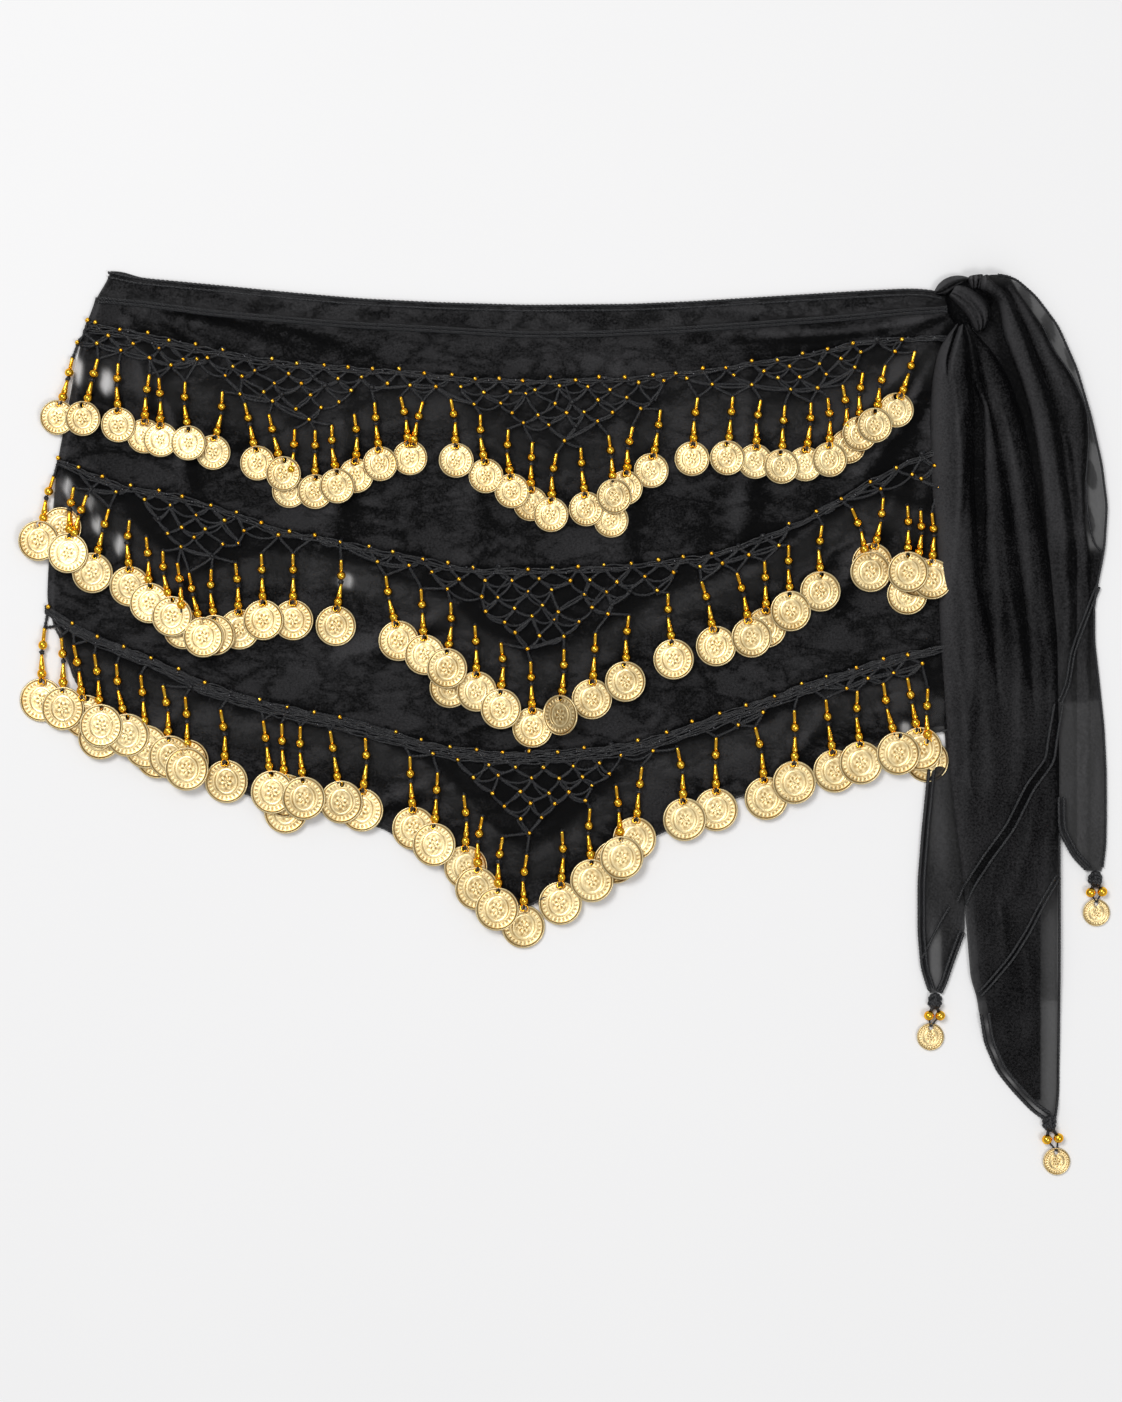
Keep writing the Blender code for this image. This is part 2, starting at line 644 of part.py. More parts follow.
def build_knot_band(name, start, end):
    """One band of cloth over the heart: a slice of its outline, leaning down to the right."""
    along = (math.cos(KNOT_LEAN), math.sin(KNOT_LEAN))
    beside = (-along[1], along[0])
    spread = 0.7
    reach = min(KNOT_RADII) + spread - 0.5
    rows = 5
    steps = 12
    grid = []
    for row in range(rows + 1):
        side = mix(start, end, row / rows)
        side = max(-reach + 0.4, min(reach - 0.4, side))
        half = math.sqrt(reach * reach - side * side)
        points = []
        for step in range(steps + 1):
            run = mix(-half, half, step / steps)
            across = KNOT_CENTRE[0] + along[0] * run + beside[0] * side
            up = KNOT_CENTRE[1] + along[1] * run + beside[1] * side
            swell = 0.9 * math.sin(math.pi * row / rows)
            z = KNOT_BOTTOM + 0.5 + knot_rise(across, up, spread) + swell
            points.append((across, up, z))
        grid.append(points)
    wall(name, grid, KNOT_CLOTH, CHIFFON)


# --- tail tips ------------------------------------------------------------------------------------------
def build_tips():
    for tip in TIPS:
        tail = tip["tail"]
        knot = dome(tail + "_knot", tip["radii"], TIP_KNOT_HEIGHT, CORD, smooth=True)
        place(knot, *tip["knot"])
        for side, centre in zip(("left", "right"), tip["beads"]):
            round_bead = bead(tail + "_bead_" + side, BEAD_RADIUS, GOLD_BEAD, metallic=1.0,
                              roughness=0.3, smooth=True)
            place(round_bead, *centre)
        disc = coin(tail + "_coin", COIN_RADIUS, COIN_THICK, GOLD, metallic=1.0, roughness=0.3)
        place(disc, *tip["coin"])


clear_scene()
build_back_panel()
build_front_panel()
build_side_fold()
build_hems()
build_headers()
build_nets()
build_fringes()
build_tail_core()
build_tail_b()
build_tail_c()
build_tail_a()
build_bands()
build_knot()
build_tips()
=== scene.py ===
"""Looks of the belly dance hip scarf: sheer black chiffon, beaded cord nets and gold coins.

The scarf lies flat, so +X runs along the waist to the knot, +Y up to the waist edge and +Z off
the surface. Sizes here are in millimetres, and MM turns them into metres.
"""

import math

import bpy
import numpy as np
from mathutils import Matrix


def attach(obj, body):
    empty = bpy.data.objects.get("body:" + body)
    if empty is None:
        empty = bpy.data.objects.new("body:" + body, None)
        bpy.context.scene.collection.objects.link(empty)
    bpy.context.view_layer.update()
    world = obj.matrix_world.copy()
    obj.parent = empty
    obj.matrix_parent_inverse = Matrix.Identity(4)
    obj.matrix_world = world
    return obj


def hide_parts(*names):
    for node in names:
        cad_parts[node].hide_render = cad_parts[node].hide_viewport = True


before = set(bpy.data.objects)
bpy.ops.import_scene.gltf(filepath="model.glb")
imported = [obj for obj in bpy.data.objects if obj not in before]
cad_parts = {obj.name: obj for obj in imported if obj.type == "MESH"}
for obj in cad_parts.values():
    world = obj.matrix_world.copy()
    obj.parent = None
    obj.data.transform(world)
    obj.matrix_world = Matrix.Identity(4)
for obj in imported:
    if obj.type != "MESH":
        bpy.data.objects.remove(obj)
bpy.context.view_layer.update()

MM = 0.001
SEED = 11

# --- heights off the surface --------------------------------------------------
BACK_Z = 1.0
FRONT_Z = 2.3
FLOOR_CLEAR = 0.3

# --- lines across the scarf: each row is (across, up) -------------------------
BACK_WAIST = [(-245, 244), (-232, 240.5), (-190, 236.5), (-150, 232.5), (-110, 229), (-70, 227),
              (-20, 225.5), (35, 226), (70, 227.5), (110, 230), (150, 232.5), (187, 234.5),
              (201, 233.5), (211, 230)]
FRONT_WAIST = [(-252, 230), (-225, 227.5), (-190, 222.5), (-150, 219), (-110, 216), (-70, 214),
               (-20, 211), (20, 211.5), (70, 214), (110, 217), (150, 220), (185, 223.5),
               (211, 225)]
HEADER_1 = [(-260, 217), (-237, 213), (-207, 206), (-170, 198), (-133, 193.5), (-84, 190),
            (-51, 186), (-20, 185), (5, 185.5), (40, 187), (78, 191), (111, 196), (140, 201),
            (165, 207.5), (190, 208), (211, 209)]
HEADER_2 = [(-274, 144), (-258, 136), (-235, 128), (-205, 123), (-180, 115), (-156, 105.5),
            (-121, 98.5), (-84, 91), (-51, 83.5), (-15, 83.5), (15, 84.5), (46, 87), (78, 91),
            (111, 102), (140, 115), (165, 131.5), (190, 144), (211, 150.5)]
HEADER_3 = [(-280, 65), (-267, 53), (-242, 43), (-218, 34), (-193, 22), (-168, 14), (-144, 8),
            (-121, 3), (-96, -3.5), (-65, -12), (-34, -15.5), (3, -14), (40, -10), (78, 3),
            (116, 16.5), (153, 29), (177, 36.5), (200, 41.5), (211, 43.5)]
LOWER_HEM = [(-275, 53), (-271, 45), (-264, 23.5), (-251, 2), (-226, -24), (-194, -30.5),
             (-170, -39), (-131, -48), (-97, -57), (-62, -78), (-20, -99.5), (19, -79),
             (49, -61), (94, -40), (135, -29.5), (171, -10.5), (195, -6), (211, -3.5)]
# side fold: each row is (up, across)
SIDE_FOLD = [(53, -275), (65, -279), (87, -278), (110, -276), (130, -274.5), (148, -272),
             (167, -268), (191, -264), (212, -259), (230, -252)]
PANEL_RIGHT = 211.0

# --- drop of the strands below each header: each row is (across, drop) --------
DROP_1 = [(-268, 20), (-250, 19), (-232, 20), (-218, 23), (-200, 21), (-184, 22), (-172, 26),
          (-156, 31), (-145, 37), (-134, 36), (-120, 30), (-100, 17), (-88, 14), (-76, 16),
          (-60, 12), (-44, 20), (-30, 27), (-18, 33), (-4, 40.5), (10, 37), (24, 31), (38, 27),
          (52, 19), (70, 14.5), (92, 17), (106, 21), (120, 26.5), (132, 27), (142, 27),
          (150, 21), (162, 17), (173, 15), (190, 7)]
DROP_2 = [(-275, 10), (-256, 13), (-245, 16), (-234, 18), (-224, 27), (-216, 32), (-209, 36),
          (-202, 42), (-190, 35), (-176, 27), (-164, 17), (-146, 12), (-120, 10), (-96, 14),
          (-76, 17), (-61, 20), (-48, 31), (-34, 40), (-18, 51), (0, 44), (17, 36), (35, 28),
          (56, 18), (74, 14), (93, 15), (108, 14), (122, 10), (140, 8), (156, 9), (172, 13),
          (181, 21), (186, 25), (192, 30), (197, 33), (204, 35)]
DROP_3 = [(-280, 12), (-273, 10), (-265, 10), (-254, 10), (-248, 10), (-235, 11), (-222, 12),
          (-204, 13), (-185, 12), (-162, 11), (-142, 9), (-126, 8), (-107, 7), (-85, 10),
          (-68, 15), (-54, 25), (-44, 36), (-33, 46), (-20, 57), (-1, 44), (14, 33), (28, 22),
          (42, 14), (61, 10), (82, 12), (103, 14), (124, 12), (141, 12), (158, 13), (172, 13),
          (185, 13), (196, 21), (200, 28)]

# --- strands of each fringe: each row is (across, swing of the coin) ----------
STRANDS_1 = [(-265, -8), (-251, -8), (-240, 0), (-223, -3), (-218, 1), (-204, 2), (-184, -5),
             (-172, 7), (-159, 8), (-145, -3), (-134, 0), (-125, 3), (-113, 1), (-102, 3),
             (-88, 5), (-76, -7), (-61, 3), (-45, 3), (-30, 2), (-17, -1), (-4, -3), (9, 3),
             (24, 3), (37, -4), (52, -5), (72, -3), (91, -3), (106, -3), (119, -2), (133, -3),
             (142, 1), (150, 3), (161, -2), (173, -6), (189, -10)]
STRANDS_2 = [(-275, -8), (-264, -3), (-257, -10), (-245, -9), (-234, 0), (-225, 2), (-216, 5),
             (-208, 3), (-202, 8), (-190, 2), (-177, 2), (-163, 1), (-146, 0), (-120, -3),
             (-96, 7), (-77, 2), (-61, -2), (-48, 1), (-34, 0), (-18, 1), (0, -2), (17, -2),
             (35, -2), (56, 3), (74, 8), (93, 8), (108, 1), (121, 1), (139, -1), (155, 10),
             (172, -6), (185, 0), (192, -2), (198, 0)]
STRANDS_3 = [(-280, -2), (-271, 1), (-264, 6), (-253, 4), (-241, 6), (-228, 3), (-216, 4),
             (-204, 1), (-185, 3), (-162, 5), (-152, 2), (-142, 2), (-126, 6), (-107, -2),
             (-83, 2), (-68, -2), (-54, 1), (-44, -3), (-33, -3), (-20, -2), (-1, -1), (14, 1),
             (28, 3), (42, -4), (61, 4), (82, 0), (103, 6), (124, 0), (141, 5), (158, 2),
             (172, 8), (185, 7), (196, 0)]


def bell(half, reach):
    """Weights of a running mean over half steps each way, which add up to 1."""
    weights = np.exp(-(np.arange(-half, half + 1) / reach) ** 2)
    return weights / weights.sum()


def eased_run(values, half, reach):
    """Values smoothed along their run, with both ends held in place."""
    padded = np.pad(values, half, mode="reflect", reflect_type="odd")
    return np.convolve(padded, bell(half, reach), "valid")


def smooth_line(table, reach=7.0):
    """Callable line through a table of (place, value), eased over its corners."""
    rows = sorted(table)
    places = np.array([row[0] for row in rows], float)
    values = np.array([row[1] for row in rows], float)
    fine = np.arange(places[0] - 60, places[-1] + 60, 1.0)
    padded = np.pad(np.interp(fine, places, values), 30, mode="edge")
    eased = np.convolve(padded, bell(30, reach), mode="valid")
    return lambda place: np.interp(place, fine, eased)


back_waist = smooth_line(BACK_WAIST)
front_waist = smooth_line(FRONT_WAIST)
header_1 = smooth_line(HEADER_1)
header_2 = smooth_line(HEADER_2)
header_3 = smooth_line(HEADER_3)
lower_hem = smooth_line(LOWER_HEM, 2.5)
side_fold = smooth_line(SIDE_FOLD, 6.0)
drop_1 = smooth_line(DROP_1, 3.0)
drop_2 = smooth_line(DROP_2, 3.0)
drop_3 = smooth_line(DROP_3, 3.0)


def mix(a, b, share):
    return a + (b - a) * share


def ease(value, start, end):
    """0 at start and 1 at end, with a soft ease between; start may be above end."""
    share = np.clip((value - start) / (end - start), 0.0, 1.0)
    return share * share * (3 - 2 * share)


def gap_between(one, other):
    return math.hypot(one[0] - other[0], one[1] - other[1])


# --- creases ------------------------------------------------------------------
class Creases:
    """Soft ridges and troughs along straight runs: from, to, height and half width."""

    def __init__(self, rows):
        self.rows = rows

    def rise(self, across, up):
        total = np.zeros(np.broadcast(across, up).shape)
        for x0, y0, x1, y1, height, half_width in self.rows:
            length = math.hypot(x1 - x0, y1 - y0)
            along = ((across - x0) * (x1 - x0) + (up - y0) * (y1 - y0)) / length
            beside = ((across - x0) * (y1 - y0) - (up - y0) * (x1 - x0)) / length
            share = np.clip(along / length, 0.0, 1.0)
            bow = beside + 0.05 * length * np.sin(math.pi * share)
            swell = np.sin(math.pi * share) ** 0.8
            total += 1.5 * height * swell * np.exp(-(bow / (half_width * (0.6 + 0.6 * share))) ** 2)
        return total


def small_creases(random, count, box, height, half_width, length, tilt=(0.0, math.pi)):
    """Seeded short wrinkles inside a box (left, low, right, high)."""
    rows = []
    for _ in range(count):
        x = random.uniform(box[0], box[2])
        y = random.uniform(box[1], box[3])
        turn = random.uniform(*tilt)
        run = random.uniform(*length)
        rise = random.uniform(*height) * random.choice([-1.0, 1.0])
        rows.append((x, y, x + run * math.cos(turn), y + run * math.sin(turn), rise,
                     random.uniform(*half_width)))
    return rows


FRONT_FOLDS = [
    (-232, 226, -150, 168, 1.5, 4.5), (-236, 222, -200, 110, 1.2, 5), (-225, 224, -80, 192, 1.3, 4),
    (-228, 225, -115, 178, -0.4, 4), (-238, 220, -222, 150, 1.0, 4), (-222, 224, -130, 200, 0.8, 3),
    (-120, 206, -135, 60, 0.8, 8), (-62, 206, -50, 60, 0.7, 9), (30, 205, 22, 40, 0.9, 9),
    (96, 208, 88, 60, 1.0, 8), (208, 222, 128, 200, 1.3, 4), (209, 218, 120, 140, 1.4, 6),
    (208, 220, 60, 212, 0.9, 3), (207, 214, 150, 120, 1.3, 6), (206, 205, 175, 60, 1.2, 7),
    (207, 221, 100, 196, -0.8, 4), (205, 190, 190, 60, 1.2, 5), (-268, 150, -200, 60, 1.0, 6),
    (-255, 190, -150, 120, 0.8, 6), (150, 118, 60, 58, 1.0, 6), (185, 132, 120, 40, 1.0, 6),
    (-40, 75, -130, 30, 0.9, 6), (10, 75, 60, 20, 0.9, 6), (-180, 100, -240, 55, 0.9, 5),
    (-60, -25, -120, -50, 0.8, 5), (20, -25, 90, -35, 0.8, 5), (150, 20, 110, -30, 0.8, 6),
    (-200, 15, -240, -20, 0.8, 5),
]
BACK_FOLDS = [
    (-200, 232, -120, 216, 0.7, 3), (-120, 225, -70, 214, 0.6, 3), (-60, 222, 0, 214, 0.5, 3),
    (60, 222, 120, 216, 0.6, 3), (208, 230, 90, 222, 0.9, 3), (205, 228, 130, 226, -0.5, 2),
]
wrinkles = np.random.default_rng(SEED)
FRONT_CREASES = Creases(FRONT_FOLDS + small_creases(wrinkles, 110, (-280, -95, 205, 215),
                                                    (0.08, 0.30), (1.0, 2.6), (14, 60),
                                                    (-0.9, 0.5)))
BACK_CREASES = Creases(BACK_FOLDS + small_creases(wrinkles, 60, (-240, -60, 200, 240),
                                                  (0.1, 0.35), (1.5, 4.0), (15, 60)))


def inside_front(across, up):
    """1 well inside the front half and 0 outside it, over the last few millimetres."""
    left = ease(across - side_fold(up), -1.0, 3.0)
    low = ease(up - lower_hem(across), -2.0, 2.0)
    return left * low


def front_height(across, up):
    """Top of the front half, falling to the surface round its edge."""
    level = ease(across - side_fold(up), 0.0, 22.0)
    rise = FRONT_CREASES.rise(across, up) * level
    return mix(FLOOR_CLEAR, FRONT_Z + np.maximum(rise, -0.9), inside_front(across, up))


# --- mesh helpers -------------------------------------------------------------
class Pile:
    """Points and faces of many small shapes, gathered into one mesh."""

    def __init__(self):
        self.points = []
        self.faces = []
        self.maps = []
        self.count = 0

    def add(self, points, faces, flat_map=None):
        points = np.asarray(points, float)
        self.points.append(points)
        self.faces.append(np.asarray(faces, int) + self.count)
        if flat_map is not None:
            self.maps.append(np.asarray(flat_map, float))
        self.count += len(points)

    def object(self, name, material):
        item = mesh_object(name, np.concatenate(self.points), self.faces, material)
        if self.maps:
            paint_map(item, np.concatenate(self.maps))
        return item


def mesh_object(name, points, face_sets, material):
    """Smooth shaded mesh from millimetre points and arrays of faces."""
    mesh = bpy.data.meshes.new(name)
    faces = [tuple(face) for block in face_sets for face in block.tolist()]
    mesh.from_pydata((np.asarray(points) * MM).tolist(), [], faces)
    mesh.validate()
    mesh.polygons.foreach_set("use_smooth", np.ones(len(mesh.polygons), bool))
    mesh.materials.append(material)
    item = bpy.data.objects.new(name, mesh)
    bpy.context.collection.objects.link(item)
    return item


def ride_piece(item, replaced=()):
    """Every piece rides the one body; replaced names the plain solids it stands for."""
    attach(item, "root")
    if replaced:
        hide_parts(*replaced)


def paint_map(item, places):
    """Stores flat places of the points as the mesh's map, one pair for each corner."""
    mesh = item.data
    layer = mesh.uv_layers.new(name="places")
    corners = np.empty(len(mesh.loops), int)
    mesh.loops.foreach_get("vertex_index", corners)
    layer.data.foreach_set("uv", places[corners].ravel())


def paint_layers(item, values):
    """Stores how many layers of chiffon lie at each point."""
    attribute = item.data.attributes.new("layers", "FLOAT", "POINT")
    attribute.data.foreach_set("value", np.asarray(values, float).ravel())


def blurred(field, reach):
    """Field averaged along its rows over some steps each way."""
    reach = int(np.clip(reach, 1, field.shape[1] // 3))
    kernel = bell(2 * reach, reach)
    padded = np.pad(field, ((0, 0), (2 * reach, 2 * reach)), mode="edge")
    return np.array([np.convolve(row, kernel, "valid") for row in padded])


def paint_light_and_shade(item, across, up, z, strength=1.0, patches=0.0):
    """Stores painted light and shade for the cloth's colour: how far the cloth turns to the light,
    from 0 in the troughs to 1 on lit slopes.
    """
    step_u = np.stack([np.gradient(part, axis=1) for part in (across, up, z)], axis=-1)
    step_v = np.stack([np.gradient(part, axis=0) for part in (across, up, z)], axis=-1)
    normal = np.cross(step_v, step_u)
    normal /= np.linalg.norm(normal, axis=-1, keepdims=True) + 1e-9
    normal *= np.sign(normal[..., 2:3]) + (normal[..., 2:3] == 0)
    # painted light and shade: slopes that face the key light at the upper left are lightened, steep
    # sides and hollows darkened
    lit = -0.62 * normal[..., 0] + 0.42 * normal[..., 1]
    steps_of_5_mm = 5.0 / np.median(np.abs(step_u[..., 0]) + 1e-6)
    hollow = np.clip((blurred(z, steps_of_5_mm) - z) / 1.6, -0.5, 1.0)
    value = 0.42 + strength * (0.95 * lit - 0.35 * (1 - normal[..., 2])) - 0.55 * hollow + patches
    value = np.clip(value, 0.0, 1.0)
    attribute = item.data.attributes.new("sheen", "FLOAT", "POINT")
    attribute.data.foreach_set("value", value.ravel())


def grid_faces(rows, columns, wrap=False):
    """Faces of a grid of rows by columns of points; wrap joins the last column to the first."""
    across = np.arange(columns if wrap else columns - 1)
    down = np.arange(rows - 1)[:, None] * columns
    a = down + across
    b = down + (across + 1) % columns
    return np.stack([a, b, b + columns, a + columns], axis=-1).reshape(-1, 4)


def tube(path, radii, sides=6, squash=1.0):
    """Points and faces of a round tube along a path, open at both ends."""
    path = np.asarray(path, float)
    radii = np.broadcast_to(radii, len(path))
    along = np.gradient(path, axis=0)
    along /= np.linalg.norm(along, axis=1, keepdims=True) + 1e-9
    upward = np.array([0.0, 0.0, 1.0])
    beside = np.cross(along, upward)
    beside /= np.linalg.norm(beside, axis=1, keepdims=True) + 1e-9
    over = np.cross(beside, along)
    turns = np.arange(sides) * 2 * math.pi / sides
    ring = (np.cos(turns)[None, :, None] * beside[:, None, :]
            + squash * np.sin(turns)[None, :, None] * over[:, None, :])
    points = path[:, None, :] + radii[:, None, None] * ring
    return points.reshape(-1, 3), grid_faces(len(path), sides, wrap=True)


def lathe(profile, sides):
    """Round shape turned about the -Y axis from rows of (distance down, radius)."""
    profile = np.asarray(profile, float)
    turns = np.arange(sides) * 2 * math.pi / sides
    points = np.empty((len(profile), sides, 3))
    points[:, :, 0] = profile[:, 1:2] * np.cos(turns)
    points[:, :, 1] = -profile[:, 0:1]
    points[:, :, 2] = profile[:, 1:2] * np.sin(turns)
    return points.reshape(-1, 3), grid_faces(len(profile), sides, wrap=True)


def ball_profile(start, length, radius, steps=6, bore=0.35):
    """Profile rows of a bored round bead that starts at a distance down."""
    angles = np.linspace(-1, 1, steps + 1) * (math.pi / 2 - math.asin(bore))
    return [(start + length / 2 + length / 2 * math.sin(angle) / math.cos(math.asin(bore)),
             radius * math.cos(angle)) for angle in angles]


def turned(points, heading, place):
    """Turns points that hang along -Y to a heading in the flat, and moves them to a place."""
    sine = math.sin(heading)
    cosine = math.cos(heading)
    spun = points.copy()
    spun[:, 0] = points[:, 0] * cosine - points[:, 1] * sine
    spun[:, 1] = points[:, 0] * sine + points[:, 1] * cosine
    return spun + np.asarray(place)


# --- materials ----------------------------------------------------------------
class Finish:
    """A material with one Principled shader, and short ways to add and join its nodes."""

    def __init__(self, name, **values):
        self.material = bpy.data.materials.new(name)
        self.material.use_nodes = True
        self.tree = self.material.node_tree
        self.shader = self.tree.nodes["Principled BSDF"]
        for socket, value in values.items():
            self.shader.inputs[socket.replace("_", " ")].default_value = value

    def node(self, kind, **settings):
        made = self.tree.nodes.new(kind)
        for name, value in settings.items():
            setattr(made, name, value)
        return made

    def join(self, output, socket):
        self.tree.links.new(output, socket)

    def math(self, operation, *values):
        made = self.node("ShaderNodeMath", operation=operation)
        for index, value in enumerate(values):
            if isinstance(value, (int, float)):
                made.inputs[index].default_value = value
            else:
                self.join(value, made.inputs[index])
        return made.outputs[0]

    def places(self, scale=(1.0, 1.0, 1.0), turn=0.0):
        """Object places in metres, scaled and turned about Z."""
        where = self.node("ShaderNodeTexCoord")
        mapping = self.node("ShaderNodeMapping")
        mapping.inputs["Scale"].default_value = scale
        mapping.inputs["Rotation"].default_value = (0.0, 0.0, turn)
        self.join(where.outputs["Object"], mapping.inputs["Vector"])
        return mapping.outputs["Vector"]

    def noise(self, where, scale, detail=3.0, roughness=0.55):
        made = self.node("ShaderNodeTexNoise")
        made.inputs["Scale"].default_value = scale
        made.inputs["Detail"].default_value = detail
        made.inputs["Roughness"].default_value = roughness
        self.join(where, made.inputs["Vector"])
        return made.outputs["Fac"]

    def ramp(self, value, low, high, dark, light):
        """Colour between two tones as a value runs from low to high."""
        made = self.node("ShaderNodeValToRGB")
        made.color_ramp.elements[0].position = low
        made.color_ramp.elements[0].color = (*dark, 1.0)
        made.color_ramp.elements[1].position = high
        made.color_ramp.elements[1].color = (*light, 1.0)
        self.join(value, made.inputs["Fac"])
        return made.outputs["Color"]

    def bump(self, height, distance, strength=1.0, under=None):
        made = self.node("ShaderNodeBump")
        made.inputs["Distance"].default_value = distance
        made.inputs["Strength"].default_value = strength
        self.join(height, made.inputs["Height"])
        if under is not None:
            self.join(under, made.inputs["Normal"])
        return made.outputs["Normal"]

    def streaks(self, turn):
        """Thin dark branching lines, 1 on the lines and 0 between them, used as painted shade of fine
        creases.
        """
        lines = []
        for scale, lean in (((16.0, 30.0, 1.0), 0.5), ((18.0, 26.0, 1.0), -0.9)):
            where = self.places(scale, lean + turn)
            spread = self.noise(where, 1.0, 5.0, 0.6)
            gap = self.math("ABSOLUTE", self.math("SUBTRACT", spread, 0.5))
            lines.append(self.math("SUBTRACT", 1.0, self.math(
                "MINIMUM", 1.0, self.math("MULTIPLY", gap, 20.0))))
        return self.math("MAXIMUM", *lines)

    def weave(self, pitch, turn=0.0):
        """Plain weave of threads at a pitch in metres: 0 in the gaps and 1 on the threads."""
        parts = self.node("ShaderNodeSeparateXYZ")
        self.join(self.places(turn=turn), parts.inputs[0])
        threads = []
        for axis in ("X", "Y"):
            wave = self.math("SINE", self.math("MULTIPLY", parts.outputs[axis],
                                               2 * math.pi / pitch))
            threads.append(self.math("ABSOLUTE", wave))
        return self.math("MAXIMUM", *threads)


def chiffon(name, through, turn=0.0, wrinkles=0.0):
    """Sheer black plain weave; through is the light that one layer lets by.

    The points carry layers, how many lie there, and sheen, how far the cloth turns to the light, which
    the colour takes as painted light and shade.
    """
    finish = Finish(name, Roughness=0.6, Sheen_Weight=0.02, Sheen_Roughness=0.4,
                    Sheen_Tint=(0.8, 0.8, 0.86, 1.0), Specular_IOR_Level=0.05)
    where = finish.places()
    clouds = finish.noise(where, 30.0, 4.0)
    lines = finish.streaks(turn)
    grain = finish.noise(where, 850.0, 3.0, 0.75)
    threads = finish.weave(0.00085, turn)
    layers = finish.node("ShaderNodeAttribute", attribute_name="layers")
    sheen = finish.node("ShaderNodeAttribute", attribute_name="sheen")
    tone = finish.math("MULTIPLY_ADD", grain, 1.0, finish.math("MULTIPLY", clouds, 0.40))
    tone = finish.math("ADD", tone, finish.math("MULTIPLY_ADD", threads, 0.16, -0.50))
    # painted shade of fine creases: dark branching lines in the colour, as strong as wrinkles
    tone = finish.math("MULTIPLY_ADD", lines, -wrinkles, tone)
    # painted light and shade from the sheen attribute: lit slopes lighter, troughs darker
    tone = finish.math("ADD", tone, finish.math("MULTIPLY", sheen.outputs["Fac"], 0.80))
    colour = finish.ramp(tone, 0.34, 1.20, (0.0006, 0.0006, 0.0008), (0.048, 0.047, 0.049))
    finish.join(colour, finish.shader.inputs["Base Color"])
    weave_gap = finish.math("MULTIPLY_ADD", threads, -0.28, 1.0 + 0.17)
    uneven = finish.math("MULTIPLY_ADD", grain, 0.30, 0.85)
    light = finish.math("MULTIPLY", finish.math("MULTIPLY", weave_gap, uneven), through)
    passed = finish.math("POWER", light, layers.outputs["Fac"])
    finish.join(finish.math("SUBTRACT", 1.0, passed), finish.shader.inputs["Alpha"])
    crumple = finish.bump(finish.noise(where, 200.0, 3.0), 0.0012, 0.6)
    finish.join(finish.bump(threads, 0.00010, 0.7, crumple), finish.shader.inputs["Normal"])
    return finish.material


def black_cord():
    """Crocheted cord, with plied strands and a faint sheen."""
    finish = Finish("black_cord", Roughness=0.36, Sheen_Weight=0.10, Sheen_Roughness=0.35,
                    Sheen_Tint=(0.8, 0.85, 0.95, 1.0), Specular_IOR_Level=0.42)
    where = finish.places()
    plies = finish.noise(where, 1500.0, 2.0)
    finish.join(finish.ramp(plies, 0.35, 0.75, (0.0008, 0.0008, 0.001), (0.022, 0.022, 0.025)),
                finish.shader.inputs["Base Color"])
    finish.join(finish.bump(plies, 0.0004, 0.9), finish.shader.inputs["Normal"])
    return finish.material


def seed_black():
    """Glossy black seed beads."""
    finish = Finish("seed_black", Roughness=0.12, Specular_IOR_Level=0.7)
    tint = finish.noise(finish.places(), 700.0, 1.0)
    finish.join(finish.ramp(tint, 0.3, 0.7, (0.004, 0.004, 0.006), (0.03, 0.03, 0.036)),
                finish.shader.inputs["Base Color"])
    return finish.material


def bead_gold():
    """Warm gold of the round beads and bugles, a little worn."""
    finish = Finish("bead_gold", Metallic=1.0, Specular_Tint=(1.0, 0.72, 0.22, 1.0))
    where = finish.places()
    wear = finish.noise(where, 420.0, 3.0)
    finish.join(finish.ramp(wear, 0.32, 0.66, (0.98, 0.42, 0.012), (1.0, 0.62, 0.07)),
                finish.shader.inputs["Base Color"])
    rough = finish.math("MULTIPLY_ADD", wear, 0.16, 0.09)
    finish.join(rough, finish.shader.inputs["Roughness"])
    finish.join(finish.bump(finish.noise(where, 900.0, 2.0), 0.0001, 0.4),
                finish.shader.inputs["Normal"])
    return finish.material


